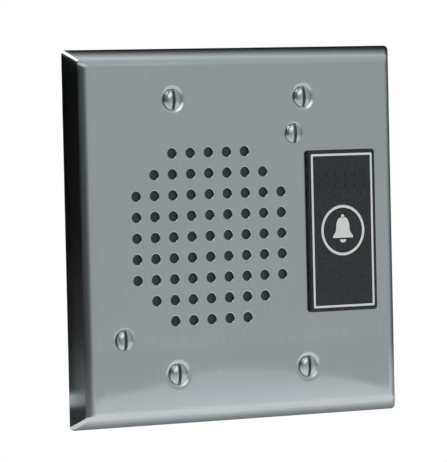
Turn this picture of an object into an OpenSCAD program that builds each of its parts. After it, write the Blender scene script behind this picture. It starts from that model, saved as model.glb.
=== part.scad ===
// Two-gang door speaker plate: a pressed stainless plate with a perforated field, a small
// loudspeaker bolted behind it and a call button module beside the loudspeaker.
// Everything is drawn as a front view, X right, Y up and Z towards the viewer, with Z = 0 on
// the wall. upright() then stands the drawing up, so that the face of the plate looks along -Y.

/* [Plate] */
// Width of the plate over its rim
plate_w = 115.8; // [114:0.1:125]
// Height of the plate over its rim
plate_h = 114.3; // [112:0.1:125]
// Depth of the plate from the wall to its face
plate_d = 5.6; // [5:0.1:7]
// Thickness of the steel sheet
sheet_t = 0.9; // [0.7:0.05:1.1]
// Angle between the sloping edge and the face
edge_angle = 55; // [45:1:65]
// Outside radius of the bend between the face and the edge
bend_r = 3.5; // [2.5:0.1:4.5]
// Radius of the four corners of the rim
rim_corner_r = 1.6; // [0.5:0.1:2.5]

/* [Sound holes] */
// Centre distance of the sound holes, both ways
hole_pitch = 6.35; // [5.8:0.05:6.8]
// Diameter of a sound hole
hole_d = 3.1; // [2:0.1:4]

/* [Box screws] */
// Width of the wall box's screw pattern
box_pitch_x = 46; // [44:0.1:50]
// Height of the wall box's screw pattern
box_pitch_y = 83.3; // [82:0.1:88]
// Thread diameter of a box screw
box_thread_d = 3.5; // [3:0.1:4]
// Head diameter of a box screw
box_head_d = 6.9; // [6.2:0.1:7.6]
// Height of the oval top of a box screw
box_dome_h = 1.1; // [0.6:0.1:1.5]
// Length of a box screw under its rim
box_screw_l = 25.4; // [16:0.1:40]
// Diameter of the pressed dish round a box screw
box_dish_d = 9.2; // [8.4:0.1:10]
// Depth of the pressed dish round a box screw
box_dish_h = 0.35; // [0.1:0.05:0.5]

/* [Speaker screws] */
// Thread diameter of a speaker screw
speaker_thread_d = 3.18; // [2.8:0.02:3.6]
// Head diameter of a speaker screw
speaker_head_d = 6.2; // [5.6:0.1:6.8]
// Height of the oval top of a speaker screw
speaker_dome_h = 0.95; // [0.6:0.05:1.3]
// Length of a speaker screw under its rim
speaker_screw_l = 12.7; // [11:0.1:20]
// Diameter of the pressed dish round a speaker screw
speaker_dish_d = 7.2; // [7:0.1:8]
// Depth of the pressed dish round a speaker screw
speaker_dish_h = 0.1; // [0.05:0.05:0.3]
// Width across the flats of a speaker nut
nut_af = 7.9; // [7:0.1:9]
// Thickness of a speaker nut
nut_t = 2.8; // [2:0.1:3.5]
// Outside diameter of a lock washer
washer_d = 7.2; // [6:0.1:8]
// Thickness of a lock washer
washer_t = 0.8; // [0.5:0.1:1.2]

/* [Screw heads] */
// Angle of the countersunk seats
countersink_angle = 82; // [80:1:90]
// Width of the screwdriver slots
slot_w = 1.0; // [0.8:0.05:1.2]
// Depth of the screwdriver slots below the oval top
slot_d = 1.3; // [0.8:0.05:1.6]

/* [Speaker frame] */
// Gap between the speaker frame and the left-hand bend of the plate
side_gap = 5.86; // [5:0.02:7]
// Gap between the speaker frame and the call button module
module_gap = 0.85; // [0.6:0.05:2]
// Least gap between the speaker frame and the pressed seats of the box screws
seat_gap = 0.5; // [0.3:0.1:1.5]
// Radius of the frame's corners, round the ear holes
ear_r = 4.8; // [4.5:0.1:5.5]
// Width of the frame's flat rim beside its round opening
frame_land = 4.9; // [4.6:0.1:5.4]
// Thickness of the frame's steel sheet
frame_t = 0.8; // [0.6:0.05:1]
// Depth of the straight skirt behind the opening
skirt_h = 3; // [2:0.1:4]
// Depth of the sloping wall with the windows
slope_h = 6.9; // [6.4:0.1:9]
// Outside radius of the shelf that holds the spider
shelf_r = 18.8; // [17.8:0.1:19.5]
// Depth of the cup below the shelf
cup_h = 4.8; // [4:0.1:7]
// Radius of the hole in the bottom of the cup
cup_hole_r = 8.2; // [7.8:0.1:9]
// Number of windows in the sloping wall
window_n = 8; // [6:1:10]
// Angle that one window spans
window_angle = 22; // [16:1:26]
// Width of metal kept above and below the windows
window_edge = 1.2; // [0.8:0.1:1.8]

/* [Speaker mounting] */
// Thickness of the black cloth behind the sound holes
cloth_t = 0.3; // [0.2:0.05:0.5]
// Thickness of the foam gasket
gasket_t = 2.9; // [2.7:0.1:4]

/* [Speaker cone] */
// Width of the roll of the surround
roll_w = 3; // [2.4:0.1:3.4]
// Thickness of the surround
surround_t = 0.3; // [0.2:0.05:0.4]
// Width of the glued ring on either side of the roll
bond_w = 1.6; // [1.2:0.1:2.2]
// Depth of the paper cone
cone_h = 8; // [7:0.1:9]
// Thickness of the paper cone
cone_t = 0.5; // [0.4:0.05:0.7]
// Radius of the dust cap
cap_r = 9; // [8.4:0.1:10]
// Height of the dust cap
cap_h = 2.6; // [1.8:0.1:3.2]
// Thickness of the dust cap
cap_t = 0.4; // [0.3:0.05:0.6]
// Thickness of the spider
spider_t = 0.3; // [0.2:0.05:0.4]
// Height of the spider's ripples, from the middle to a crest
ripple_h = 0.5; // [0.3:0.05:0.7]
// Number of ripples in the spider
ripple_n = 4; // [3:1:5]

/* [Speaker motor] */
// Radius of the pole
pole_r = 6.2; // [5.8:0.05:6.4]
// Radial clearance on both sides of the coil in the magnet gap
gap_clearance = 0.3; // [0.25:0.05:0.4]
// Thickness of the coil former
former_t = 0.15; // [0.1:0.05:0.2]
// Thickness of the winding
winding_t = 0.3; // [0.2:0.05:0.4]
// Length of the winding
winding_l = 4.8; // [4:0.1:6]
// Radius of the top plate
top_plate_r = 16; // [15.6:0.1:17]
// Thickness of the top plate
top_plate_t = 3; // [2.5:0.1:4]
// Radius of the magnet
magnet_r = 20; // [18.5:0.1:21]
// Radius of the hole in the magnet
magnet_hole_r = 9.5; // [8.5:0.1:10.5]
// Thickness of the magnet
magnet_t = 8; // [6:0.1:10]
// Radius of the yoke's back plate
yoke_r = 18.5; // [17:0.1:19.5]
// Thickness of the yoke's back plate
yoke_t = 3; // [2.5:0.1:4]
// Radius of the vent through the pole
vent_r = 1.8; // [1:0.1:2.5]

/* [Speaker terminals] */
// Width of the terminal strip
strip_w = 19; // [18:0.1:21]
// Height of the terminal strip
strip_h = 6.4; // [6:0.1:7]
// Thickness of the terminal strip
strip_t = 1.2; // [0.8:0.1:1.6]
// Centre distance of the two solder lugs
lug_pitch = 13; // [12:0.1:14]
// Width of a solder lug
lug_w = 3; // [2.6:0.1:3.6]
// Thickness of a solder lug
lug_t = 0.4; // [0.3:0.05:0.6]
// Length of a solder lug beyond the strip
lug_reach = 5; // [4:0.1:7]
// Radius of the strip's rivet
rivet_r = 1.2; // [1:0.1:1.4]
// Radius of a tinsel lead
lead_r = 0.35; // [0.25:0.05:0.45]

/* [Call module] */
// Width of the black front panel
panel_w = 24.5; // [24:0.1:26]
// Height of the black front panel
panel_h = 50; // [49:0.1:54]
// Corner radius of the front panel
panel_r = 1; // [0.5:0.1:2]
// Gap between the panel and the bend of the plate
panel_margin = 4.2; // [2.6:0.05:4.6]
// Height of the bezel above the plate
bezel_proud = 1; // [0.8:0.05:1.4]
// Overlap of the bezel on the plate round its cut-out
bezel_overlap = 1.5; // [1:0.1:2]
// Clearance of the bezel's neck in the cut-out
neck_gap = 0.2; // [0.1:0.05:0.4]
// Thickness of the bezel's front
bezel_front_t = 2; // [1.6:0.1:2.4]
// Wall of the box behind the bezel
box_wall = 1.5; // [1.2:0.1:2]
// Height of the box behind the bezel
box_h = 35; // [34:0.1:36]
// Thickness of the seal under the bezel
seal_t = 0.3; // [0.2:0.05:0.5]
// Thickness of the printed front film
film_t = 0.25; // [0.15:0.05:0.4]
// Inset of the film from the panel's outline
film_inset = 0.25; // [0.1:0.05:0.5]
// Diameter of a raised dot on the film
dot_d = 1.5; // [1.2:0.1:1.8]
// Height of a raised dot
dot_h = 0.45; // [0.3:0.05:0.6]
// Centre distance of the raised dots, both ways
dot_pitch = 3.4; // [3:0.1:3.6]
// Number of raised dots in a row
dot_n = 6; // [4:1:6]
// Distance of the two rows' middle below the top of the panel
dot_drop = 9.2; // [8:0.1:11]

/* [Call button] */
// Diameter of the button
button_d = 13.4; // [13:0.1:15]
// Radial running clearance of the button in the bezel
button_gap = 0.05; // [0.03:0.01:0.08]
// Width of the flange that keeps the button in
button_flange_w = 1.2; // [0.8:0.1:1.6]
// Thickness of the button's flange
button_flange_t = 1.2; // [0.8:0.1:1.6]
// Radius of the stem behind the button
stem_r = 2; // [1.8:0.1:2.4]
// Length of the stem behind the button
stem_l = 2; // [1.5:0.1:3]
// Travel of the button
button_travel = 0.6; // [0.4:0.05:0.8]

/* [Switch] */
// Width and height of the switch body
switch_w = 12; // [11:0.1:13]
// Depth of the switch body
switch_h = 3.5; // [3.2:0.1:4.5]
// Radius of the switch plunger
plunger_r = 1.75; // [1.5:0.05:1.9]
// Radius of the contact dome
dome_r = 3.1; // [2.8:0.1:3.4]
// Thickness of the contact dome
dome_t = 0.12; // [0.1:0.01:0.16]
// Centre distance of the switch pins across the switch
pin_pitch_x = 10; // [9:0.1:10.6]
// Centre distance of the switch pins along the switch
pin_pitch_y = 5; // [4:0.1:6]
// Radius of a switch pin
pin_r = 0.4; // [0.3:0.05:0.5]

/* [Switch board] */
// Thickness of the board
board_t = 1.6; // [1.2:0.1:2]
// Thread radius of the module's small screws
small_thread_r = 1.1; // [1:0.05:1.2]
// Head radius of the module's small screws
small_head_r = 2.1; // [1.9:0.05:2.3]
// Head height of the module's small screws
small_head_h = 1.4; // [1.2:0.1:1.8]
// Radius of the two posts that carry the board
post_r = 2.6; // [2.4:0.1:2.9]
// Length of a board screw inside its post
board_bite = 5; // [4:0.1:6]

/* [Terminal block] */
// Centre distance of the two ways
way_pitch = 5.08; // [4.8:0.02:5.4]
// Depth of the block along the board
block_d = 8; // [7.5:0.1:8.5]
// Height of the block off the board
block_h = 10; // [9:0.1:11]
// Radius of a terminal screw
way_screw_r = 1.7; // [1.5:0.05:1.85]
// Width of the brass cage in each way
cage_w = 3.4; // [3.2:0.1:3.6]

/* [Clamps] */
// Width of a clamp
clamp_w = 16; // [14:0.1:18]
// Thickness of a clamp
clamp_t = 1.2; // [1:0.1:1.5]
// Height of the clamp's foot
foot_h = 1.2; // [1:0.1:1.5]
// Length of the clamp's foot
foot_l = 3; // [2:0.1:4]

/* [Hidden] */
// Part of the overlap that keeps cuts clear of the faces that they pass
eps = 0.05;
// Clearance round a screw in a clearance hole
bolt_gap = 0.3;
// Clearance between pieces that are glued, pressed or screwed together
glue_gap = 0.05;
// Clearance round a pressed dish in the pieces behind it
dish_gap = 0.25;
// Room beyond the end of a screw in a blind hole
blind_gap = 0.2;
// Plastic left in front of a clamp screw's blind hole
front_skin = 0.8;
// Least length of the two end blocks of the bezel's neck, which take the clamp screws
end_block_l = 4;

// Sound holes in each row, from the top row down
hole_rows = [5, 7, 9, 9, 9, 9, 9, 7, 5];

// Section of the plate's edge: a straight flank, then a bend
flank_rise = plate_d - bend_r * (1 - cos(edge_angle));
edge_run = flank_rise / tan(edge_angle) + bend_r * sin(edge_angle);
bend_z = plate_d - bend_r;
flat_half_w = plate_w / 2 - edge_run;
flat_half_h = plate_h / 2 - edge_run;
sheet_back = plate_d - sheet_t;
quarter_overlap = 10;

// Countersunk seats, and the straight rim of a screw head
head_rim = 0.12;
sink = tan(countersink_angle / 2);
sheet_step = sheet_t / cos(countersink_angle / 2);

// Plan of the call module, set out from the right-hand bend
call_x = flat_half_w - panel_margin - panel_w / 2;
cutout_w = panel_w - 2 * bezel_overlap;
cutout_h = panel_h - 2 * bezel_overlap;
neck_w = cutout_w - 2 * neck_gap;
neck_h = cutout_h - 2 * neck_gap;
// The box behind the bezel lies between the end blocks, so a short panel shortens it
box_l = min(box_h, neck_h - 2 * end_block_l);
cutout_r = 1.5;
film_w = panel_w - 2 * film_inset;
film_h = panel_h - 2 * film_inset;

// Plan of the speaker, which fills the room beside the call module and between the box screws
room_w = flat_half_w - side_gap + call_x - neck_w / 2 - module_gap;
room_h = box_pitch_y - 2 * (seat_back_r(box_head_d, box_thread_d, box_dish_h) + seat_gap);
frame_w = min(room_w, room_h);
speaker_x = call_x - neck_w / 2 - module_gap - frame_w / 2;
ear = frame_w / 2 - ear_r;
opening_r = frame_w / 2 - frame_land;

// Depths of the speaker, from the plate back
cloth_back = sheet_back - cloth_t;
frame_z = cloth_back - gasket_t;
skirt_z = frame_z - skirt_h;
shelf_z = skirt_z - slope_h;
cup_z = shelf_z - cup_h;
top_plate_z = cup_z - frame_t;
magnet_z = top_plate_z - top_plate_t;
yoke_z = magnet_z - magnet_t;
pole_z = top_plate_z + 0.2;

// Radii of the cone, from the opening in
roll_out_r = opening_r - 0.4;
roll_in_r = roll_out_r - roll_w;
bond_in_r = roll_in_r - bond_w;
surround_r = roll_out_r + 4;
gasket_r = roll_out_r + 0.6;

// Radii of the magnet gap, from the pole out
former_in_r = pole_r + gap_clearance;
former_r = former_in_r + former_t;
coil_r = former_r + winding_t;
gap_r = coil_r + gap_clearance;
neck_r = former_r + glue_gap;
neck_z = frame_z - cone_h;
former_front = neck_z + 0.5;
coil_mid = top_plate_z - top_plate_t / 2;
coil_back = coil_mid - winding_l / 2;

// Slope of the frame's wall, and the shelf's width
slope = slope_h / (opening_r - shelf_r);
slope_step = frame_t * sqrt(1 + slope * slope);
cup_r = top_plate_r - 0.4;
shelf_back = shelf_z - frame_t;

// Terminal strip, on a tab of the frame below the magnet
tab_w = 7;
strip_y = -(shelf_r + 1.2 + strip_h / 2);
strip_back = shelf_back - strip_t;
lug_x = lug_pitch / 2;

// Tinsel leads, which draw together from the lugs to the middle of the cone
lead_draw = 1.7;
lead_rise = 4.2;
lead_drop = 3.6;
lead_end_r = (neck_r + bond_in_r) / 2;
lead_end_x = lug_x - lead_draw;
lead_end_y = -sqrt(lead_end_r * lead_end_r - lead_end_x * lead_end_x);
lead_steps = 12;
lead_sides = 8;

// Depths of the call module, from its front back
lip_z = plate_d + bezel_proud;
film_z = lip_z + film_t;
web_z = lip_z - bezel_front_t;
flange_z = web_z - button_flange_t;
stem_z = flange_z - stem_l;
button_r = button_d / 2;
plunger_out = button_travel + 0.3;
switch_z = stem_z - plunger_out;
board_z = switch_z - switch_h;
board_back = board_z - board_t;
switch_roof = 0.5;
dome_h = 1;
plunger_flange_t = 0.5;
dome_top = switch_z - switch_roof - 0.1 - plunger_flange_t;
dome_base = dome_top - dome_h;
post = [neck_w / 2 - 3, box_l / 2 - 3.5];

// Terminal block, in the lower left of the board
block_w = 2 * way_pitch;
block_x = -neck_w / 2 + 1.5 + block_w / 2;
block_y = -box_l / 2 + 2 + block_d / 2;
block_back = board_back - block_h;
cage_h = 4.6;
cage_z = board_back - 2 - cage_h;
way_screw_h = 2.4;

// Clamps, on the two ends of the neck
clamp_z = sheet_back - foot_h;
clamp_in = box_l / 2 + 0.3;
foot_in = cutout_h / 2 + 1;
clamp_hole_y = (box_l / 2 + neck_h / 2) / 2;

$fn = 64;

// Stands the front view up, with its Y upwards
module upright() {
    rotate([90, 0, 0])
        children();
}

// Puts a piece on the speaker's axis
module at_speaker() {
    translate([speaker_x, 0, 0])
        children();
}

// Puts a piece on the call module's axis
module at_call() {
    translate([call_x, 0, 0])
        children();
}

// Flat rectangle with round corners
module rounded(w, h, r) {
    square([w - 2 * r, h], center = true);
    square([w, h - 2 * r], center = true);
    for (sx = [-1, 1], sy = [-1, 1])
        translate([sx * (w / 2 - r), sy * (h / 2 - r)])
            circle(r);
}

// Rounded block between two depths
module slab(w, h, r, back, front) {
    translate([0, 0, back])
        linear_extrude(front - back)
            rounded(w, h, r);
}

// Round bar between two depths
module bar(r, back, front) {
    translate([0, 0, back])
        cylinder(h = front - back, r = r);
}

// Flat ring between two depths
module ring(r_out, r_in, back, front) {
    difference() {
        bar(r_out, back, front);
        bar(r_in, back - eps, front + eps);
    }
}

// Places of the four box screws
module box_places() {
    for (sx = [-1, 1], sy = [-1, 1])
        translate([sx * box_pitch_x / 2, sy * box_pitch_y / 2, 0])
            children();
}

// Places of the two speaker screws, in opposite ears of the frame
module speaker_places() {
    for (s = [-1, 1])
        translate([speaker_x + s * ear, s * ear, 0])
            children();
}

// Section under the plate's edge, measured from the start of the bend and taken in by inset.
// It reaches in by the length given.
module edge_section(inset, foot, inward) {
    r = bend_r - inset;
    top = plate_d - inset;
    corner_x = r * tan(edge_angle / 2);
    touch = [r * sin(edge_angle), bend_z + r * cos(edge_angle)];
    foot_x = touch[0] + (touch[1] - foot) / tan(edge_angle);
    difference() {
        polygon([[-inward, foot], [foot_x, foot], [corner_x, top], [-inward, top]]);
        difference() {
            polygon([[0, bend_z], touch, [corner_x, top], [0, top]]);
            translate([0, bend_z])
                circle(r);
        }
    }
}

// Long bar with the edge section, its bend beside a flat of the given half width
module edge_bar(half, inset, foot) {
    translate([half, 0, 0])
        rotate([90, 0, 0])
            linear_extrude(2 * (plate_w + plate_h), center = true)
                edge_section(inset, foot, half + quarter_overlap);
}

// Top right quarter of the plate's lump: an upright and a level bar, where both are filled
module quarter_lump(inset, foot) {
    intersection() {
        edge_bar(flat_half_w, inset, foot);
        rotate(90)
            edge_bar(flat_half_h, inset, foot);
    }
}

// The plate's whole lump, from four mirrored quarters
module plate_lump(inset, foot) {
    for (mx = [0, 1], my = [0, 1])
        mirror([mx, 0, 0])
            mirror([0, my, 0])
                quarter_lump(inset, foot);
}

// Pressed sheet with four sloping edges, mitred at the corners, and a rounded rim
module pressed_sheet() {
    difference() {
        intersection() {
            plate_lump(0, 0);
            slab(plate_w, plate_h, rim_corner_r, -1, plate_d + 1);
        }
        plate_lump(sheet_t, -1);
    }
}

// Depth of the cone of a countersunk seat
function sink_depth(head_d, thread_d) =
    (head_d / 2 + glue_gap - thread_d / 2 - bolt_gap) / sink;

// Radius of a countersunk seat where it leaves the back of the sheet
function seat_back_r(head_d, thread_d, dish_h) =
    thread_d / 2 + bolt_gap + sheet_step + (sink_depth(head_d, thread_d) + dish_h - sheet_t) * sink;

// Metal pressed out behind the plate by a countersunk seat
module seat_back(head_d, thread_d, dish_h) {
    hole_r = thread_d / 2 + bolt_gap;
    depth = sink_depth(head_d, thread_d);
    end_z = plate_d - dish_h - depth;
    top_z = plate_d - sheet_t / 2;
    end_r = hole_r + sheet_step;
    translate([0, 0, end_z])
        cylinder(h = top_z - end_z, r1 = end_r, r2 = end_r + (top_z - end_z) * sink);
}

// Dish, countersink and hole of a seat
module seat_cut(head_d, thread_d, dish_d, dish_h) {
    seat_r = head_d / 2 + glue_gap;
    hole_r = thread_d / 2 + bolt_gap;
    depth = sink_depth(head_d, thread_d);
    rim_z = plate_d - dish_h;
    lift = eps * (dish_d / 2 - seat_r) / dish_h;
    translate([0, 0, rim_z])
        cylinder(h = dish_h + eps, r1 = seat_r, r2 = dish_d / 2 + lift);
    translate([0, 0, rim_z - depth])
        cylinder(h = depth, r1 = hole_r, r2 = seat_r);
    bar(hole_r, 0, rim_z - depth + eps);
}

// Pressed stainless plate with its sound holes, screw seats and cut-out
module face_plate() {
    color([0.60, 0.61, 0.62])
        difference() {
            union() {
                pressed_sheet();
                box_places()
                    seat_back(box_head_d, box_thread_d, box_dish_h);
                speaker_places()
                    seat_back(speaker_head_d, speaker_thread_d, speaker_dish_h);
            }
            box_places()
                seat_cut(box_head_d, box_thread_d, box_dish_d, box_dish_h);
            speaker_places()
                seat_cut(speaker_head_d, speaker_thread_d, speaker_dish_d, speaker_dish_h);
            at_speaker()
                sound_holes();
            at_call()
                slab(cutout_w, cutout_h, cutout_r, sheet_back - eps, plate_d + eps);
        }
}

// Rows of sound holes, on a square grid
module sound_holes() {
    rows = len(hole_rows);
    for (row = [0 : rows - 1])
        for (i = [0 : hole_rows[row] - 1])
            translate([
                (i - (hole_rows[row] - 1) / 2) * hole_pitch,
                ((rows - 1) / 2 - row) * hole_pitch,
                0
            ])
                bar(hole_d / 2, sheet_back - eps, plate_d + eps);
}

// Slotted screw with an oval countersunk head, the top of its rim at Z = 0
module oval_screw(thread_d, head_d, dome_h, length) {
    head_r = head_d / 2;
    sphere_r = (head_r * head_r + dome_h * dome_h) / (2 * dome_h);
    taper = (head_d - thread_d) / 2 / sink;
    tip = 0.5;
    difference() {
        rotate_extrude() {
            polygon([
                [0, -length],
                [thread_d / 2 - tip, -length],
                [thread_d / 2, tip - length],
                [thread_d / 2, -taper - head_rim],
                [head_r, -head_rim],
                [head_r, 0],
                [0, 0]
            ]);
            intersection() {
                translate([0, dome_h - sphere_r])
                    circle(sphere_r);
                translate([0, -head_rim])
                    square([head_r, dome_h + 2 * head_rim]);
            }
        }
        translate([-slot_w / 2, -head_d, dome_h - slot_d])
            cube([slot_w, 2 * head_d, slot_d + eps]);
    }
}

// Four screws that go into the wall box
module box_screws() {
    color([0.78, 0.78, 0.77])
        box_places()
            translate([0, 0, plate_d - box_dish_h + head_rim])
                oval_screw(box_thread_d, box_head_d, box_dome_h, box_screw_l);
}

// Two screws that hold the speaker
module speaker_screws() {
    color([0.78, 0.78, 0.77])
        speaker_places()
            translate([0, 0, plate_d - speaker_dish_h + head_rim])
                oval_screw(speaker_thread_d, speaker_head_d, speaker_dome_h, speaker_screw_l);
}

// Split lock washers behind the speaker frame
module lock_washers() {
    split = 0.8;
    front = frame_z - frame_t;
    back = front - washer_t;
    color([0.70, 0.70, 0.69])
        speaker_places()
            difference() {
                ring(washer_d / 2, speaker_thread_d / 2 + glue_gap, back, front);
                translate([0, -split / 2, back - eps])
                    cube([washer_d, split, washer_t + 2 * eps]);
            }
}

// Hexagon nuts on the speaker screws
module speaker_nuts() {
    front = frame_z - frame_t - washer_t;
    color([0.72, 0.71, 0.68])
        speaker_places()
            difference() {
                translate([0, 0, front - nut_t])
                    cylinder(h = nut_t, d = nut_af / cos(30), $fn = 6);
                bar(speaker_thread_d / 2 + glue_gap, front - nut_t - eps, front + eps);
            }
}

// Holes in a sheet behind the plate that let the speaker screws' seats through
module ear_holes(back, front) {
    r = seat_back_r(speaker_head_d, speaker_thread_d, speaker_dish_h) + dish_gap;
    for (sx = [-1, 1], sy = [-1, 1])
        translate([sx * ear, sy * ear, 0])
            bar(r, back - eps, front + eps);
}

// Black cloth behind the sound holes
module grille_cloth() {
    color([0.06, 0.06, 0.06])
        at_speaker()
            difference() {
                slab(frame_w, frame_w, ear_r, cloth_back, sheet_back);
                ear_holes(cloth_back, sheet_back);
            }
}

// Foam gasket between the cloth and the speaker frame, recessed for the surround
module speaker_gasket() {
    color([0.13, 0.13, 0.13])
        at_speaker()
            difference() {
                slab(frame_w, frame_w, ear_r, frame_z, cloth_back);
                bar(gasket_r, frame_z - eps, cloth_back + eps);
                bar(surround_r + glue_gap, frame_z - eps, frame_z + surround_t);
                ear_holes(frame_z, cloth_back);
            }
}

// Half of the section through the round part of the frame
module frame_section() {
    wall_r = opening_r + frame_t;
    polygon([
        [opening_r, frame_z - eps],
        [opening_r, skirt_z],
        [shelf_r, shelf_z],
        [cup_r - frame_t, shelf_z],
        [cup_r - frame_t, cup_z],
        [cup_hole_r, cup_z],
        [cup_hole_r, top_plate_z],
        [cup_r, top_plate_z],
        [cup_r, shelf_back],
        [shelf_r + (slope_step - frame_t) / slope, shelf_back],
        [wall_r, skirt_z + frame_t * slope - slope_step],
        [wall_r, frame_z - eps]
    ]);
}

// One window of the frame's sloping wall, as the piece that is cut away
module frame_window() {
    reach = 2 * opening_r;
    half = window_angle / 2;
    translate([0, 0, shelf_back + eps])
        linear_extrude(skirt_z - shelf_back)
            intersection() {
                difference() {
                    circle(opening_r - window_edge);
                    circle(shelf_r + 0.5 + window_edge);
                }
                polygon([[0, 0], reach * [cos(half), -sin(half)], reach * [cos(half), sin(half)]]);
            }
}

// Pressed steel speaker frame: square flange, windowed slope, spider shelf and cup
module speaker_frame() {
    tab_end = -strip_y + strip_h / 2;
    color([0.55, 0.55, 0.53])
        at_speaker()
            difference() {
                union() {
                    difference() {
                        slab(frame_w, frame_w, ear_r, frame_z - frame_t, frame_z);
                        bar(opening_r, frame_z - frame_t - eps, frame_z + eps);
                    }
                    rotate_extrude()
                        frame_section();
                    translate([-tab_w / 2, -tab_end, shelf_back])
                        cube([tab_w, tab_end - cup_r, frame_t]);
                }
                for (sx = [-1, 1], sy = [-1, 1])
                    translate([sx * ear, sy * ear, 0])
                        bar(speaker_thread_d / 2 + bolt_gap, frame_z - frame_t - eps, frame_z + eps);
                for (i = [0 : window_n - 1])
                    rotate(-90 + (i + 0.5) * 360 / window_n)
                        frame_window();
                translate([0, strip_y, 0])
                    bar(rivet_r + glue_gap, shelf_back - eps, shelf_z + eps);
            }
}

// Surround: two flat rings and the half roll between them
module cone_surround() {
    mid_r = (roll_out_r + roll_in_r) / 2;
    color([0.10, 0.10, 0.10])
        at_speaker()
            rotate_extrude() {
                translate([roll_out_r, frame_z])
                    square([surround_r - roll_out_r, surround_t]);
                translate([bond_in_r, frame_z])
                    square([bond_w, surround_t]);
                intersection() {
                    translate([mid_r, frame_z])
                        difference() {
                            circle((roll_w + surround_t) / 2);
                            circle((roll_w - surround_t) / 2);
                        }
                    translate([bond_in_r, frame_z])
                        square([surround_r - bond_in_r, roll_w]);
                }
            }
}

// Depth of the cone's front at radius r: steep at the neck and flat at the rim
function cone_front(r) =
    frame_z - cone_h * pow(max(0, 1 - (r - neck_r) / (bond_in_r - neck_r)), 1.3);

// Paper cone, with a flat lip for the surround
module paper_cone() {
    steps = 12;
    radii = [for (i = [0 : steps]) neck_r + (bond_in_r - neck_r) * i / steps];
    front = [for (r = radii) [r, cone_front(r)]];
    back = [for (i = [steps : -1 : 0]) [radii[i], cone_front(radii[i]) - cone_t]];
    color([0.16, 0.15, 0.14])
        at_speaker()
            rotate_extrude()
                polygon(concat(
                    front,
                    [[roll_in_r, frame_z], [roll_in_r, frame_z - cone_t]],
                    back
                ));
}

// Domed dust cap over the coil
module dust_cap() {
    sphere_r = (cap_r * cap_r + cap_h * cap_h) / (2 * cap_h);
    base = cone_front(cap_r) + glue_gap;
    color([0.12, 0.12, 0.12])
        at_speaker()
            difference() {
                intersection() {
                    translate([0, 0, base + cap_h - sphere_r])
                        sphere(sphere_r, $fn = 96);
                    bar(cap_r, base, base + cap_h + eps);
                }
                translate([0, 0, base + cap_h - sphere_r])
                    sphere(sphere_r - cap_t, $fn = 96);
            }
}

// Paper tube that carries the coil
module coil_former() {
    color([0.72, 0.60, 0.42])
        at_speaker()
            ring(former_r, former_in_r, coil_back - 0.3, former_front);
}

// Copper winding, longer than the magnet gap
module voice_coil() {
    color([0.72, 0.38, 0.20])
        at_speaker()
            ring(coil_r, former_r + eps / 2, coil_back, coil_back + winding_l);
}

// Height of the spider's underside at radius r, from the shelf: ripples that end flat
function spider_rise(r, r0, r1) =
    r <= r0 || r >= r1 ? 0 : ripple_h * (1 - cos(360 * ripple_n * (r - r0) / (r1 - r0)));

// Rippled cloth spider from the shelf to the coil former
module spider() {
    steps = 8 * ripple_n;
    in_r = former_r + 0.1;
    r0 = in_r + 0.8;
    r1 = cup_r - frame_t - 0.2;
    out_r = shelf_r - 0.6;
    ripples = [for (i = [0 : steps]) r0 + (r1 - r0) * i / steps];
    radii = concat([in_r], ripples, [out_r]);
    last = len(radii) - 1;
    under = [for (r = radii) [r, shelf_z + spider_rise(r, r0, r1)]];
    over = [for (i = [last : -1 : 0]) [radii[i], shelf_z + spider_t + spider_rise(radii[i], r0, r1)]];
    color([0.75, 0.62, 0.35])
        at_speaker()
            rotate_extrude()
                polygon(concat(under, over));
}

// Steel ring in front of the magnet
module top_plate() {
    color([0.74, 0.72, 0.62])
        at_speaker()
            ring(top_plate_r, gap_r, magnet_z, top_plate_z);
}

// Ferrite ring magnet
module magnet_ring() {
    color([0.20, 0.20, 0.21])
        at_speaker()
            ring(magnet_r, magnet_hole_r, yoke_z, magnet_z);
}

// Steel back plate with the vented pole
module pole_yoke() {
    edge = 0.6;
    color([0.74, 0.72, 0.62])
        at_speaker()
            difference() {
                union() {
                    bar(yoke_r, yoke_z - yoke_t + edge, yoke_z);
                    translate([0, 0, yoke_z - yoke_t])
                        cylinder(h = edge, r1 = yoke_r - edge, r2 = yoke_r);
                    bar(pole_r, yoke_z - yoke_t / 2, pole_z);
                }
                bar(vent_r, yoke_z - yoke_t - eps, pole_z + eps);
            }
}

// Insulating strip on the frame's tab
module terminal_strip() {
    color([0.42, 0.26, 0.13])
        at_speaker()
            translate([0, strip_y, 0])
                difference() {
                    slab(strip_w, strip_h, 0.8, strip_back, shelf_back);
                    bar(rivet_r + glue_gap, strip_back - eps, shelf_back + eps);
                    for (s = [-1, 1])
                        translate([s * lug_x, 0, 0])
                            bar(lug_eye_r() + glue_gap, strip_back - eps, shelf_back + eps);
                }
}

// Radius of the eyelet that holds a solder lug
function lug_eye_r() = lug_w / 2 - 0.6;

// Rivet through the strip and the frame's tab
module strip_rivet() {
    head_r = rivet_r + 0.8;
    head_h = 0.6;
    color([0.75, 0.75, 0.73])
        at_speaker()
            translate([0, strip_y, 0]) {
                bar(rivet_r, strip_back - head_h, shelf_z + head_h);
                bar(head_r, strip_back - head_h, strip_back);
                bar(head_r, shelf_z, shelf_z + head_h);
            }
}

// Two tinned lugs, each with a solder eye below the strip and an eyelet through it
module solder_lugs() {
    eye_y = -strip_h / 2 - lug_reach + lug_w / 2;
    color([0.80, 0.78, 0.70])
        at_speaker()
            for (s = [-1, 1])
                translate([s * lug_x, strip_y, 0]) {
                    difference() {
                        union() {
                            translate([-lug_w / 2, eye_y, strip_back - lug_t])
                                cube([lug_w, -eye_y, lug_t]);
                            bar(lug_w / 2, strip_back - lug_t, strip_back);
                            translate([0, eye_y, 0])
                                bar(lug_w / 2, strip_back - lug_t, strip_back);
                        }
                        translate([0, eye_y, 0])
                            bar(lug_w / 4, strip_back - lug_t - eps, strip_back + eps);
                    }
                    bar(lug_eye_r(), strip_back - lug_t, shelf_back + lug_t);
                }
}

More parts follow.
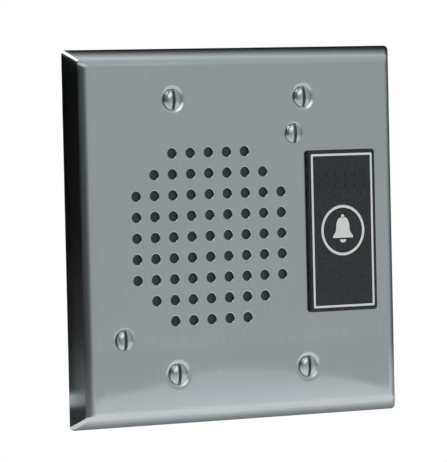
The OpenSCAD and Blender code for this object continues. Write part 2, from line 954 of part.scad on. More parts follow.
// Point of a tinsel lead at t, on a cubic curve from the lug's eyelet to the back of the cone
function lead_point(t, s) =
    let (
        a = [s * lug_x, strip_y, shelf_back + lug_t],
        d = [s * lead_end_x, lead_end_y, cone_front(lead_end_r) - cone_t - glue_gap],
        b = a + [0, 0, lead_rise],
        c = d - [0, 0, lead_drop]
    )
    pow(1 - t, 3) * a + 3 * t * pow(1 - t, 2) * b + 3 * t * t * (1 - t) * c + pow(t, 3) * d;

// Ring of points round a tinsel lead, square to its run
function lead_ring(i, s) =
    let (
        t = i / lead_steps,
        ahead = lead_point(min(t + 0.01, 1), s) - lead_point(max(t - 0.01, 0), s),
        along = i == 0 || i == lead_steps ? [0, 0, 1] : ahead / norm(ahead),
        side = [1, 0, 0] - along[0] * along,
        u = side / norm(side),
        v = cross(along, u)
    )
    [for (k = [0 : lead_sides - 1])
        lead_point(t, s)
            + lead_r * cos(360 * k / lead_sides) * u
            + lead_r * sin(360 * k / lead_sides) * v];

// One tinsel lead, swept along its curve
module tinsel_lead(s) {
    n = lead_sides;
    points = [for (i = [0 : lead_steps], p = lead_ring(i, s)) p];
    sides = [for (i = [0 : lead_steps - 1], k = [0 : n - 1], half = [0, 1])
        let (a = i * n + k, b = i * n + (k + 1) % n)
        half == 0 ? [a, a + n, b] : [b, a + n, b + n]];
    first = [for (k = [1 : n - 2]) [0, k, k + 1]];
    last = [for (k = [1 : n - 2]) lead_steps * n * [1, 1, 1] + [0, k + 1, k]];
    polyhedron(points, concat(sides, first, last));
}

// Two flexible leads from the lugs to the cone
module tinsel_leads() {
    color([0.62, 0.42, 0.26])
        at_speaker()
            for (s = [-1, 1])
                tinsel_lead(s);
}

// Moulded bezel: lip, neck with an open box behind it, and a solid block at either end
module call_bezel() {
    seat_z = plate_d + seal_t;
    color([0.07, 0.07, 0.08])
        at_call()
            difference() {
                union() {
                    slab(panel_w, panel_h, panel_r, seat_z, lip_z);
                    slab(neck_w, neck_h, cutout_r - neck_gap, clamp_z, seat_z + eps);
                    difference() {
                        slab(neck_w, box_l, 0.5, board_z, clamp_z + eps);
                        slab(neck_w - 2 * box_wall, box_l - 2 * box_wall, 0.5, board_z - eps, web_z);
                    }
                    for (s = [-1, 1])
                        translate([s * post[0], -s * post[1], 0])
                            bar(post_r, board_z, web_z);
                }
                difference() {
                    slab(neck_w - 2 * box_wall, box_l - 2 * box_wall, 0.5, board_z - eps, web_z);
                    for (s = [-1, 1])
                        translate([s * post[0], -s * post[1], 0])
                            bar(post_r, board_z - 2 * eps, web_z + eps);
                }
                bar(button_r + button_gap, web_z - eps, lip_z + eps);
                for (s = [-1, 1]) {
                    translate([s * post[0], -s * post[1], 0])
                        bar(small_thread_r + glue_gap, board_z - eps, board_z + board_bite + blind_gap);
                    translate([0, s * clamp_hole_y, 0])
                        bar(small_thread_r + glue_gap, clamp_z - eps, lip_z - front_skin);
                }
            }
}

// Thin seal between the bezel's lip and the plate
module bezel_seal() {
    color([0.10, 0.10, 0.10])
        at_call()
            difference() {
                slab(film_w, film_h, panel_r, plate_d, plate_d + seal_t);
                slab(cutout_w, cutout_h, cutout_r, plate_d - eps, plate_d + seal_t + eps);
            }
}

// Raised dot of the front film, a low cap of a sphere
module film_dot() {
    sphere_r = (dot_d * dot_d / 4 + dot_h * dot_h) / (2 * dot_h);
    intersection() {
        translate([0, 0, film_z + dot_h - sphere_r])
            sphere(sphere_r);
        bar(dot_d, film_z - film_t / 2, film_z + 2 * dot_h);
    }
}

// Printed front film with two rows of raised dots and the round hole for the button
module front_film() {
    color([0.05, 0.05, 0.055])
        at_call() {
            difference() {
                slab(film_w, film_h, panel_r - film_inset / 2, lip_z, film_z);
                bar(button_r + 2 * button_gap + 0.05, lip_z - eps, film_z + eps);
            }
            for (i = [0 : dot_n - 1], s = [-1, 1])
                translate([(i - (dot_n - 1) / 2) * dot_pitch, panel_h / 2 - dot_drop + s * dot_pitch / 2, 0])
                    film_dot();
        }
}

// Round button, kept in by its flange, with a stem on the switch
module call_button() {
    edge = 0.15;
    color([0.05, 0.05, 0.055])
        at_call() {
            bar(button_r, web_z, film_z - edge);
            translate([0, 0, film_z - edge])
                cylinder(h = edge, r1 = button_r, r2 = button_r - edge);
            bar(button_r + button_flange_w, flange_z, web_z);
            bar(stem_r, stem_z, flange_z);
        }
}

// Plunger of the switch, with a flange under the switch's roof
module switch_plunger() {
    color([0.85, 0.85, 0.82])
        at_call() {
            bar(plunger_r, dome_top, stem_z);
            bar(plunger_r + 0.8, dome_top, dome_top + plunger_flange_t);
        }
}

// Snap dome that closes the contact and pushes the button back
module contact_dome() {
    sphere_r = (dome_r * dome_r + dome_h * dome_h) / (2 * dome_h);
    top = dome_top - 0.02;
    color([0.80, 0.78, 0.72])
        at_call()
            difference() {
                intersection() {
                    translate([0, 0, top - sphere_r])
                        sphere(sphere_r, $fn = 96);
                    bar(dome_r, dome_base, top + eps);
                }
                translate([0, 0, top - sphere_r])
                    sphere(sphere_r - dome_t, $fn = 96);
            }
}

// Housing of the switch, hollow for the dome
module switch_body() {
    room_r = dome_r + 0.3;
    color([0.10, 0.10, 0.11])
        at_call()
            difference() {
                slab(switch_w, switch_w, 0.8, board_z, switch_z);
                bar(room_r, dome_base - 0.02, switch_z - switch_roof);
                bar(plunger_r + glue_gap, switch_z - switch_roof - eps, switch_z + eps);
            }
}

// Places of the four switch pins
module pin_places() {
    for (sx = [-1, 1], sy = [-1, 1])
        translate([sx * pin_pitch_x / 2, sy * pin_pitch_y / 2, 0])
            children();
}

// Pins of the switch, soldered through the board
module switch_pins() {
    solder_h = 0.7;
    color([0.80, 0.79, 0.75])
        at_call()
            pin_places() {
                bar(pin_r, board_back - solder_h, board_z);
                translate([0, 0, board_back - solder_h])
                    cylinder(h = solder_h, r1 = pin_r, r2 = 2.2 * pin_r);
            }
}

// Places of the two ways of the terminal block
module way_places() {
    for (s = [-1, 1])
        translate([block_x + s * way_pitch / 2, block_y, 0])
            children();
}

// Circuit board that closes the box and carries the switch
module switch_board() {
    color([0.12, 0.32, 0.16])
        at_call()
            difference() {
                slab(neck_w, box_l, 0.5, board_back, board_z);
                pin_places()
                    bar(pin_r + glue_gap, board_back - eps, board_z + eps);
                way_places()
                    bar(way_pin_r() + glue_gap, board_back - eps, board_z + eps);
                for (s = [-1, 1])
                    translate([s * post[0], -s * post[1], 0])
                        bar(small_thread_r + bolt_gap, board_back - eps, board_z + eps);
            }
}

// Radius of the pin under a terminal
function way_pin_r() = 0.5;

// Small cross-head screw, its head's bearing face at Z = 0 and its thread towards +Z
module small_screw(length) {
    recess = 0.7;
    arm = 0.5;
    difference() {
        union() {
            bar(small_thread_r, 0, length);
            bar(small_head_r, -small_head_h / 2, 0);
            translate([0, 0, -small_head_h])
                cylinder(h = small_head_h / 2, r1 = small_head_r * 0.7, r2 = small_head_r);
        }
        for (turn = [0, 90])
            rotate(turn)
                translate([-small_head_r * 0.6, -arm / 2, -small_head_h - eps])
                    cube([small_head_r * 1.2, arm, recess + eps]);
    }
}

// Two screws that hold the board on its posts
module board_screws() {
    color([0.75, 0.75, 0.74])
        at_call()
            for (s = [-1, 1])
                translate([s * post[0], -s * post[1], board_back])
                    small_screw(board_t + board_bite);
}

// Two steel clamps that pull the bezel against the plate
module bezel_clamps() {
    color([0.66, 0.66, 0.65])
        at_call()
            for (s = [0, 180])
                rotate(s)
                    difference() {
                        union() {
                            translate([-clamp_w / 2, clamp_in, clamp_z - clamp_t])
                                cube([clamp_w, foot_in + foot_l - clamp_in, clamp_t]);
                            translate([-clamp_w / 2, foot_in, clamp_z - clamp_t])
                                cube([clamp_w, foot_l, foot_h + clamp_t]);
                        }
                        translate([0, clamp_hole_y, 0])
                            bar(small_thread_r + bolt_gap, clamp_z - clamp_t - eps, clamp_z + eps);
                    }
}

// Two screws that hold the clamps in the bezel's end blocks
module clamp_screws() {
    color([0.75, 0.75, 0.74])
        at_call()
            for (s = [-1, 1])
                translate([0, s * clamp_hole_y, clamp_z - clamp_t])
                    small_screw(clamp_t + lip_z - clamp_z - front_skin - blind_gap);
}

// Housing of the terminal block: screw wells at the back, wire mouths below
module terminal_block() {
    well_r = way_screw_r + 0.15;
    mouth = cage_w - 0.4;
    color([0.10, 0.30, 0.22])
        at_call()
            difference() {
                translate([block_x - block_w / 2, block_y - block_d / 2, block_back])
                    cube([block_w, block_d, block_h]);
                way_places() {
                    bar(well_r, block_back - eps, cage_z + eps);
                    translate([-cage_w / 2 - glue_gap, -cage_w / 2 - glue_gap, cage_z - glue_gap])
                        cube([cage_w + 2 * glue_gap, cage_w + 2 * glue_gap, cage_h + 2 * glue_gap]);
                    translate([-mouth / 2, -block_d, cage_z + 0.8])
                        cube([mouth, block_d, mouth]);
                    bar(way_pin_r() + glue_gap, cage_z + cage_h, board_back + eps);
                }
            }
}

// Brass cages in the block, with their pins through the board
module terminal_cages() {
    color([0.78, 0.62, 0.30])
        at_call()
            way_places() {
                difference() {
                    translate([-cage_w / 2, -cage_w / 2, cage_z])
                        cube([cage_w, cage_w, cage_h]);
                    translate([0, cage_w, cage_z + 0.8 + cage_w / 2])
                        rotate([90, 0, 0])
                            cylinder(h = 2 * cage_w, r = cage_w / 2 - 0.5);
                    bar(way_screw_r * 0.7 + glue_gap, cage_z - eps, cage_z + 1);
                }
                bar(way_pin_r(), cage_z + cage_h - eps, board_z + 0.8);
            }
}

// Slotted terminal screws in their wells
module terminal_screws() {
    front = cage_z - glue_gap;
    color([0.80, 0.79, 0.74])
        at_call()
            way_places()
                difference() {
                    union() {
                        bar(way_screw_r, front - way_screw_h, front);
                        bar(way_screw_r * 0.7, front - eps, cage_z + 0.7);
                    }
                    translate([-way_screw_r, -0.3, front - way_screw_h - eps])
                        cube([2 * way_screw_r, 0.6, 0.9]);
                }
}

upright() face_plate();
upright() box_screws();
upright() speaker_screws();
upright() lock_washers();
upright() speaker_nuts();
upright() grille_cloth();
upright() speaker_gasket();
upright() speaker_frame();
upright() cone_surround();
upright() paper_cone();
upright() dust_cap();
upright() coil_former();
upright() voice_coil();
upright() spider();
upright() top_plate();
upright() magnet_ring();
upright() pole_yoke();
upright() terminal_strip();
upright() strip_rivet();
upright() solder_lugs();
upright() tinsel_leads();
upright() call_bezel();
upright() bezel_seal();
upright() front_film();
upright() call_button();
upright() switch_plunger();
upright() contact_dome();
upright() switch_body();
upright() switch_pins();
upright() switch_board();
upright() board_screws();
upright() bezel_clamps();
upright() clamp_screws();
upright() terminal_block();
upright() terminal_cages();
upright() terminal_screws();
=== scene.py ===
# %% [markdown]
# # A door speaker plate, dressed for its picture
# The object is a two-gang wall plate of pressed stainless steel. A small loudspeaker
# sits behind its field of holes, and a black call panel sits beside the holes.
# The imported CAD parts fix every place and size. This script lays finished surfaces over
# them, gives each piece its material, and sets up the light and the camera.

# %% Load the frame
import math

import bmesh
import bpy
import numpy as np
from mathutils import Matrix, Vector
from mathutils.geometry import delaunay_2d_cdt


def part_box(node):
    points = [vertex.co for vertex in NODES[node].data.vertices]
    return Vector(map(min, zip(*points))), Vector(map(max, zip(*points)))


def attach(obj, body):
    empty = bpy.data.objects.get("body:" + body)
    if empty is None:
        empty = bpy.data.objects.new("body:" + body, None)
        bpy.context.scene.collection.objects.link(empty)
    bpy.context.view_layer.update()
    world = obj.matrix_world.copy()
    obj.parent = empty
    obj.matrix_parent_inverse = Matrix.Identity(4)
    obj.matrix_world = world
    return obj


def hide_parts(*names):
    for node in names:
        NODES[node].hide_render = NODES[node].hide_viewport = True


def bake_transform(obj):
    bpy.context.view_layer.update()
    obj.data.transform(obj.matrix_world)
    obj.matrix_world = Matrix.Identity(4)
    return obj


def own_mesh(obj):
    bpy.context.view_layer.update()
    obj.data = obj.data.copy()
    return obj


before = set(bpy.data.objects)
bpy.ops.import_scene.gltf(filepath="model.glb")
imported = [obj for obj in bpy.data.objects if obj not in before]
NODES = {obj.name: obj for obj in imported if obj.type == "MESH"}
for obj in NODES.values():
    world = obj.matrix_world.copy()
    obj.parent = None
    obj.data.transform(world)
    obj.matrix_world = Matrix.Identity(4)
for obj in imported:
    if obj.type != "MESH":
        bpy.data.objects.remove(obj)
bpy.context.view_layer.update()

MM = 0.001

# %% [markdown]
# ## Places
# Every shape below is worked out in millimetres in the frame's own axes: X to the right,
# Z up and Y into the wall. The boxes of a few CAD nodes give the driving places, so the
# dressed pieces stay on the parts they stand for.

# %% Driving places


def corners(node):
    """Lowest and highest corner of a CAD node, in millimetres."""
    return [np.array(corner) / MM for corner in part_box(node)]


def extent(node):
    """Width, depth and height of a CAD node: highest corner - lowest corner."""
    low, high = corners(node)
    return high - low


def front_middle(node):
    """Middle of a CAD node seen from the front, as (x, z)."""
    low, high = corners(node)
    return ((low + high) / 2)[[0, 2]]


def depths(node):
    """Front and back of a CAD node along Y."""
    low, high = corners(node)
    return low[1], high[1]


SHEET = 0.9
FACE_Y = depths("face_plate")[0]
BACK_Y = FACE_Y + SHEET
PLATE_W, _, PLATE_H = extent("face_plate")
PANEL_W, _, PANEL_H = extent("call_bezel")
speaker_axis, call_axis = front_middle("magnet_ring"), front_middle("call_bezel")
print("plate", PLATE_W.round(2), "x", PLATE_H.round(2), "face at", FACE_Y.round(2))
print("speaker axis", speaker_axis.round(2), "call axis", call_axis.round(2))

# %% [markdown]
# ## Outlines and profiles
# Almost every piece is one of three kinds: a profile turned round an axis, a flat sheet
# whose borders are rolled over by a small profile, or a tube along a path.
# All of them are grids of points, so a few helpers that return whole arrays are enough.

# %% Grids and profiles


def grid_faces(rows, cols, wrap_cols=False):
    """Quads of a grid of points: each joins a point, its right, its lower right and its lower neighbour."""
    index = np.arange(rows * cols).reshape(rows, cols)
    right = np.roll(index, -1, 1)
    below = np.roll(index, -1, 0)
    across = np.roll(below, -1, 1)
    quads = np.stack([index, right, across, below], -1)
    return quads[:-1, : None if wrap_cols else -1].reshape(-1, 4)


LEG_SHARE = 0.49


def soft_profile(points, radius, steps=6):
    """Polyline with round corners: each inner corner P becomes the curve
    (1-t)^2 A + 2t(1-t) P + t^2 B, where A and B lie on its two legs, radius away. On a short leg
    they stop at the leg share, so that two curves never meet."""
    points = np.asarray(points, float)
    middle, before, after = points[1:-1], points[:-2] - points[1:-1], points[2:] - points[1:-1]
    radius = np.broadcast_to(np.asarray(radius, float), (len(middle),))

    def along(leg):
        length = np.linalg.norm(leg, axis=1)
        return leg * (np.minimum(radius, LEG_SHARE * length) / length)[:, None]

    t = np.linspace(0, 1, steps + 1)[None, :, None]
    a, p, b = ((middle + along(before))[:, None], middle[:, None], (middle + along(after))[:, None])
    curves = (1 - t) ** 2 * a + 2 * t * (1 - t) * p + t**2 * b
    return np.vstack([points[:1], curves.reshape(-1, 2), points[-1:]])


def round_outline(centre, radius, count=32):
    """Circle, taken in by each inset: centre + (radius - inset) (cos a, sin a)."""
    angle = np.arange(count) * 2 * np.pi / count
    ring = np.stack([np.cos(angle), np.sin(angle)], -1)
    return lambda inset: centre + (radius - np.asarray(inset, float))[:, None, None] * ring


def box_outline(centre, width, height, corner, least=0.15, arc_steps=8):
    """Rectangle with round corners, taken in by each inset: a quarter circle about each
    corner's own centre, in order, with straight runs between them."""
    turn = np.linspace(0, np.pi / 2, arc_steps + 1)
    angle = np.pi / 2 * np.arange(4)[:, None] + turn
    ring = np.stack([np.cos(angle), np.sin(angle)], -1)
    signs = np.array([[1, 1], [-1, 1], [-1, -1], [1, -1]])

    def loops(inset):
        inset = np.asarray(inset, float)
        radius = np.maximum(corner - inset, least)[:, None, None, None]
        half = np.stack([width / 2 - inset, height / 2 - inset], -1)[:, None, None, :]
        middle = signs[None, :, None, :] * (half - radius)
        return centre + (middle + radius * ring).reshape(len(inset), -1, 2)

    return loops


print("helpers: grid_faces, soft_profile, round_outline, box_outline")

# %% [markdown]
# A pressed or moulded sheet is closed by two flat faces with holes in them. Filling such a
# face is a constrained triangulation, which Blender's own geometry module does well, and
# the borders between the front and the back are grids again.

# %% Sheets and turned pieces

INSIDE_ONLY, MERGE_UNDER = 1, 1e-7


def fill_faces(loops):
    """Triangles of the area inside the first loop and outside the others, as indices into the
    stacked points. The holes are convex, so a triangle with all its points on one hole is dropped."""
    points = np.vstack(loops)
    lengths = [len(loop) for loop in loops]
    starts = np.cumsum([0] + lengths)
    edges = [np.stack([s + np.arange(n), s + (np.arange(n) + 1) % n], -1)
             for s, n in zip(starts, lengths)]
    made = delaunay_2d_cdt([Vector(p) for p in points], np.vstack(edges).tolist(), [],
                           INSIDE_ONLY, MERGE_UNDER)
    source = np.array([found[0] for found in made[3]])
    triangles = source[np.array(made[2])]
    owner = np.repeat(np.arange(len(loops)), lengths)[triangles]
    in_hole = (owner == owner[:, :1]).all(1) & (owner[:, 0] > 0)
    return triangles[~in_hole]


def sheet_shape(borders):
    """Closed sheet: each border is an outline and its wall profile of (inset, depth), from
    the front face to the back one. A hole's outline grows by its inset where the outside shrinks."""
    points, faces, fronts, backs, total = [], [], [], [], 0
    for order, (outline, wall) in enumerate(borders):
        loops = outline(wall[:, 0] if order == 0 else -wall[:, 0])
        rows, cols = loops.shape[:2]
        depth = np.broadcast_to(wall[:, 1, None], (rows, cols))
        points.append(np.stack([loops[..., 0], depth, loops[..., 1]], -1).reshape(-1, 3))
        faces.append(grid_faces(rows, cols, wrap_cols=True) + total)
        fronts.append((loops[0], total + np.arange(cols)))
        backs.append((loops[-1], total + (rows - 1) * cols + np.arange(cols)))
        total += rows * cols
    for side in (fronts, backs):
        index = np.concatenate([numbers for _, numbers in side])
        faces.append(index[fill_faces([loop for loop, _ in side])])
    return np.vstack(points), faces


def edge_wall(front, back, soft):
    """Wall of a plain slab, rolled over at both edges: from the front face, down, to the back."""
    return soft_profile([(2 * soft, front), (0, front), (0, back), (2 * soft, back)], soft)


def slab(front, back, *borders):
    """Flat slab between two depths. Each border is an outline and the softness of its two edges."""
    return sheet_shape([(outline, edge_wall(front, back, soft)) for outline, soft in borders])


def turned_shape(profile, axis, steps=96):
    """Profile of (radius, depth) carried round an axis along Y: x = r cos a, z = r sin a."""
    profile = np.asarray(profile, float)
    angle = np.arange(steps) * 2 * np.pi / steps
    x = axis[0] + profile[:, :1] * np.cos(angle)
    z = axis[1] + profile[:, :1] * np.sin(angle)
    y = np.broadcast_to(profile[:, 1:], x.shape)
    return np.stack([x, y, z], -1).reshape(-1, 3), [grid_faces(len(profile), steps, wrap_cols=True)]


def together(shapes):
    """Several shapes as one: the points stacked, and the faces numbered on."""
    starts = np.cumsum([0] + [len(points) for points, _ in shapes])
    return (np.vstack([points for points, _ in shapes]),
            [face + start for (_, faces), start in zip(shapes, starts) for face in faces])


print("helpers: fill_faces, sheet_shape, edge_wall, slab, turned_shape, together")

# %% [markdown]
# Two functions do that for all pieces, so that none of it is forgotten.

# %% Pieces

MERGE_DIST, SQUARE_TO_Y = 2e-7, 0.999999


def add_part(name, mesh, body, stands_for=()):
    """Object of a finished mesh, tied to its body and the CAD nodes it stands for."""
    piece = bpy.data.objects.new(name, mesh)
    bpy.context.scene.collection.objects.link(piece)
    if body:
        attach(piece, body)
    if stands_for:
        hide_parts(*stands_for)
    print(name, len(mesh.vertices), "points,", len(mesh.polygons), "faces")
    return piece


def mesh_piece(name, shape, finish, body="plate", stands_for=(), sharp=35, inlay=None):
    """Mesh object of a shape in millimetres. Doubles are merged and normals turned out, faces
    square to Y stay flat, and edges sharper than the given angle stay sharp. An inlay is a second
    finish with the numbers of the face groups that take it."""
    points, faces = shape
    mesh = bpy.data.meshes.new(name)
    mesh.from_pydata((points * MM).tolist(), [], [face for part in faces for face in part.tolist()])
    mesh.materials.append(finish)
    if inlay:
        mesh.materials.append(inlay[0])
        group = np.repeat(np.arange(len(faces)), [len(part) for part in faces])
        mesh.polygons.foreach_set("material_index", np.isin(group, inlay[1]).astype(np.int32))
    work = bmesh.new()
    work.from_mesh(mesh)
    bmesh.ops.remove_doubles(work, verts=work.verts, dist=MERGE_DIST)
    bmesh.ops.recalc_face_normals(work, faces=work.faces)
    work.to_mesh(mesh)
    work.free()
    normals = np.empty(len(mesh.polygons) * 3, np.float32)
    mesh.polygons.foreach_get("normal", normals)
    mesh.polygons.foreach_set("use_smooth", np.abs(normals[1::3]) < SQUARE_TO_Y)
    mesh.set_sharp_from_angle(angle=math.radians(sharp))
    return add_part(name, mesh, body, stands_for)


print("helpers: add_part, mesh_piece")

# %% [markdown]
# ## Finishes
# A surface reads as real when its tone, its gloss and its fine relief all vary a little at
# the right scale. One small kit covers that: a noise field with a size in millimetres, a
# blend of two tones, a spread of roughness and a bump. Everything reads Object coordinates,
# and what is the same all over is set on the shader's own sockets.

# %% Finish kit


def new_finish(name, metal=0.0, **constants):
    """Empty material and its Principled shader, with constant sockets set by name."""
    finish = bpy.data.materials.new(name)
    finish.use_nodes = True
    shader = finish.node_tree.nodes["Principled BSDF"]
    shader.inputs["Metallic"].default_value = metal
    for socket, value in constants.items():
        shader.inputs[socket.replace("_", " ")].default_value = value
    return finish, shader


def add_node(finish, kind, sources=(), **settings):
    """New node of a material, with settings and then its first inputs, linked or set."""
    node = finish.node_tree.nodes.new(kind)
    for setting, value in settings.items():
        setattr(node, setting, value)
    for socket, source in zip(node.inputs, sources):
        if isinstance(source, bpy.types.NodeSocket):
            finish.node_tree.links.new(source, socket)
        elif source is not None:
            socket.default_value = source
    return node


def place(finish, size):
    """Object coordinates, counted in steps of the given size in millimetres along each axis."""
    where = add_node(finish, "ShaderNodeTexCoord").outputs["Object"]
    steps = [1 / (MM * s) for s in np.broadcast_to(size, 3)]
    return add_node(finish, "ShaderNodeMapping", [where, None, None, steps]).outputs[0]


NOISE_LOW, NOISE_HIGH = 0.3, 0.7
WAVE_SCALE = math.pi / 10
MIX_SHARE, MIX_A, MIX_B, MIX_RESULT = 0, 6, 7, 2


def grain(finish, size, detail=3.0):
    """Noise whose lumps have the given size in millimetres along each axis. Noise keeps near its
    middle, so that part of its range is stretched to 0 to 1."""
    noise = add_node(finish, "ShaderNodeTexNoise", [place(finish, size), None, 1.0, detail]).outputs[0]
    return add_node(finish, "ShaderNodeMapRange", [noise, NOISE_LOW, NOISE_HIGH, 0.0, 1.0]).outputs[0]


def bands(finish, axis, pitch):
    """Sine wave from 0 to 1 along one axis, one cycle for each pitch in millimetres."""
    wave = add_node(finish, "ShaderNodeTexWave", [place(finish, pitch), WAVE_SCALE], bands_direction=axis)
    return wave.outputs[1]


def combine(finish, operation, *fields):
    """Fields or numbers, joined by a Math operation."""
    return add_node(finish, "ShaderNodeMath", fields, operation=operation).outputs[0]


def spread(finish, field, low, high):
    """Field from 0 to 1, brought to the given range."""
    return add_node(finish, "ShaderNodeMapRange", [field, 0.0, 1.0, low, high]).outputs[0]


def wire(finish, shader, socket, source):
    """Field linked to one socket of the shader."""
    finish.node_tree.links.new(source, shader.inputs[socket])


def tones(finish, shader, field, dark, light):
    """Base colour between two tones. The numbers are those of a Mix node's colour sockets."""
    blend = add_node(finish, "ShaderNodeMix", data_type="RGBA")
    finish.node_tree.links.new(field, blend.inputs[MIX_SHARE])
    blend.inputs[MIX_A].default_value = (*dark, 1)
    blend.inputs[MIX_B].default_value = (*light, 1)
    wire(finish, shader, "Base Color", blend.outputs[MIX_RESULT])


def relief(finish, shader, field, depth):
    """Bump of the given depth in millimetres, at full strength."""
    bump = add_node(finish, "ShaderNodeBump", [1.0, depth * MM])
    finish.node_tree.links.new(field, bump.inputs["Height"])
    wire(finish, shader, "Normal", bump.outputs[0])


def dress(finish, shader, field, dark, light, rough, depth):
    """Two tones, a range of roughness and a fine relief, all on one field."""
    tones(finish, shader, field, dark, light)
    wire(finish, shader, "Roughness", spread(finish, field, *rough))
    relief(finish, shader, field, depth)
    return finish


def grained(name, dark, light, rough, size, depth, metal=0.0, **constants):
    """Finish of one grain, whose noise sets everything."""
    finish, shader = new_finish(name, metal, **constants)
    return dress(finish, shader, grain(finish, size), dark, light, rough, depth)


print("finish kit ready")

# %% [markdown]
# Stainless wall plates are brushed one way. The scratches run up the plate, so light spreads
# sideways and stays crisp upwards: that is an anisotropic gloss with its tangent across the
# brushing. A long thin noise adds the scratches, and a wide one the clouding of a rolled sheet.

# %% Brushed steel

SCRATCH_SHARE, SCRATCH_DEPTH, CLOUD = 0.7, 0.0003, 34.0
TONE_SWING, ROUGH_SWING = 0.05, 0.04


def brushed(name, tone, rough, along, fine=0.16, spread_sideways=0.88):
    """Metal with scratches of the given thickness and length, drawn out along Z. The field is a
    weighted sum of the scratches and the clouding."""
    finish, shader = new_finish(name, 1.0, Anisotropic=spread_sideways)
    scratch = grain(finish, (fine, fine, along), 2.0)
    clouding = combine(finish, "MULTIPLY", grain(finish, CLOUD, 1.0), 1 - SCRATCH_SHARE)
    field = combine(finish, "MULTIPLY_ADD", scratch, SCRATCH_SHARE, clouding)
    tone = np.array(tone)
    tones(finish, shader, field, (1 - TONE_SWING) * tone, (1 + TONE_SWING) * tone)
    wire(finish, shader, "Roughness", spread(finish, field, rough - ROUGH_SWING, rough + ROUGH_SWING))
    relief(finish, shader, scratch, SCRATCH_DEPTH)
    normal = add_node(finish, "ShaderNodeNewGeometry").outputs["Normal"]
    across = add_node(finish, "ShaderNodeVectorMath", [normal, (0, 0, 1)], operation="CROSS_PRODUCT")
    wire(finish, shader, "Tangent", across.outputs[0])
    return finish


stainless = brushed("brushed_stainless", (0.455, 0.475, 0.48), 0.16, 9.0)
screw_steel = grained("turned_screw_steel", (0.35, 0.37, 0.38), (0.48, 0.50, 0.50), (0.17, 0.28),
                      (0.5, 0.5, 0.12), 0.002, 1.0)
zinc_steel = grained("zinc_plated_steel", (0.50, 0.50, 0.46), (0.68, 0.68, 0.64), (0.28, 0.42),
                     1.4, 0.003, 1.0)
frame_steel = grained("plated_frame_steel", (0.40, 0.40, 0.38), (0.54, 0.54, 0.52), (0.34, 0.5),
                      2.6, 0.004, 1.0)
motor_steel = grained("yellow_passivated_steel", (0.50, 0.45, 0.28), (0.66, 0.60, 0.44), (0.3, 0.44),
                      3.0, 0.004, 1.0)
# Darker finish of the screw slots: partly grime, partly painted shade for the depth of the slot.
slot_grime_and_shade = grained("grime_and_painted_shade_in_slots", (0.075, 0.086, 0.088), (0.20, 0.22, 0.22), (0.5, 0.75), 0.3, 0.01)
brass = grained("stamped_brass", (0.56, 0.38, 0.13), (0.72, 0.53, 0.22), (0.25, 0.4), 1.2, 0.003, 1.0)
tinned_brass = grained("tin_plated_brass", (0.62, 0.60, 0.52), (0.76, 0.74, 0.68), (0.25, 0.42),
                       0.9, 0.004, 1.0)
print("metals:", stainless.name, screw_steel.name, zinc_steel.name, frame_steel.name)

# %% [markdown]
# The call panel is a fine-grained black moulding with a satin film on it, printed in white.
# Film and moulding differ mainly in gloss and in the size of their grain.

# %% Plastics and print

black_plastic = grained("black_moulding", (0.008, 0.009, 0.010), (0.014, 0.015, 0.017), (0.45, 0.6),
                        0.35, 0.010, Specular_IOR_Level=0.3)
black_film = grained("satin_film", (0.004, 0.006, 0.007), (0.026, 0.030, 0.032), (0.36, 0.56),
                     0.42, 0.006, Specular_IOR_Level=0.3)
white_print = grained("white_print", (0.56, 0.58, 0.58), (0.68, 0.70, 0.70), (0.45, 0.6), 0.3, 0.002)
pale_plastic = grained("pale_plunger", (0.70, 0.69, 0.64), (0.80, 0.79, 0.75), (0.35, 0.5), 0.6, 0.003)
green_plastic = grained("green_terminal_plastic", (0.030, 0.20, 0.12), (0.045, 0.25, 0.16),
                        (0.38, 0.52), 0.5, 0.006)
phenolic = grained("punched_laminate", (0.17, 0.075, 0.028), (0.29, 0.15, 0.06), (0.45, 0.62),
                   (2.2, 0.5, 0.4), 0.010)
seal_rubber = grained("seal_rubber", (0.018, 0.018, 0.018), (0.032, 0.032, 0.032), (0.7, 0.85), 0.4, 0.02)
foam = grained("open_foam", (0.010, 0.010, 0.010), (0.050, 0.050, 0.048), (0.85, 0.98), 0.45, 0.12)
ferrite = grained("ground_ferrite", (0.050, 0.050, 0.054), (0.10, 0.10, 0.105), (0.42, 0.62), 0.5, 0.012)
print("plastics:", black_plastic.name, black_film.name, white_print.name, foam.name)

# %% [markdown]
# ## Camera
# The picture was taken from the left of the plate and a little above it, from far away, so
# the two long sides stay almost parallel. A pinhole camera fitted to the sound holes, the
# screws and the corners of the rim gives the distance, the three angles and the lens.

# %% Camera

IMAGE_W, IMAGE_H = 447, 462
SENSOR_W = 36.0
FOCAL_PIXELS = 3819.9
VIEW_AZIMUTH = math.radians(-30.029)
VIEW_ELEVATION = math.radians(2.001)
VIEW_ROLL = math.radians(-1.273)
VIEW_DISTANCE = 1164.5
VIEW_AIM = Vector((-6.32, FACE_Y, 1.25))

towards_camera = Vector((math.sin(VIEW_AZIMUTH) * math.cos(VIEW_ELEVATION),
                         -math.cos(VIEW_AZIMUTH) * math.cos(VIEW_ELEVATION),
                         math.sin(VIEW_ELEVATION)))
camera_data = bpy.data.cameras.new("camera")
camera_data.sensor_width = SENSOR_W
camera_data.lens = FOCAL_PIXELS * SENSOR_W / max(IMAGE_W, IMAGE_H)
camera = bpy.data.objects.new("camera", camera_data)
bpy.context.scene.collection.objects.link(camera)
turned = (-towards_camera).to_track_quat("-Z", "Y").to_matrix() @ Matrix.Rotation(VIEW_ROLL, 3, "Z")
camera.matrix_world = Matrix.LocRotScale((VIEW_AIM + VIEW_DISTANCE * towards_camera) * MM,
                                         turned.to_quaternion(), None)
bpy.context.scene.camera = camera
bpy.context.scene.view_settings.view_transform = "Standard"
print("camera at", [round(c, 4) for c in camera.location], "lens", round(camera_data.lens, 1), "mm")

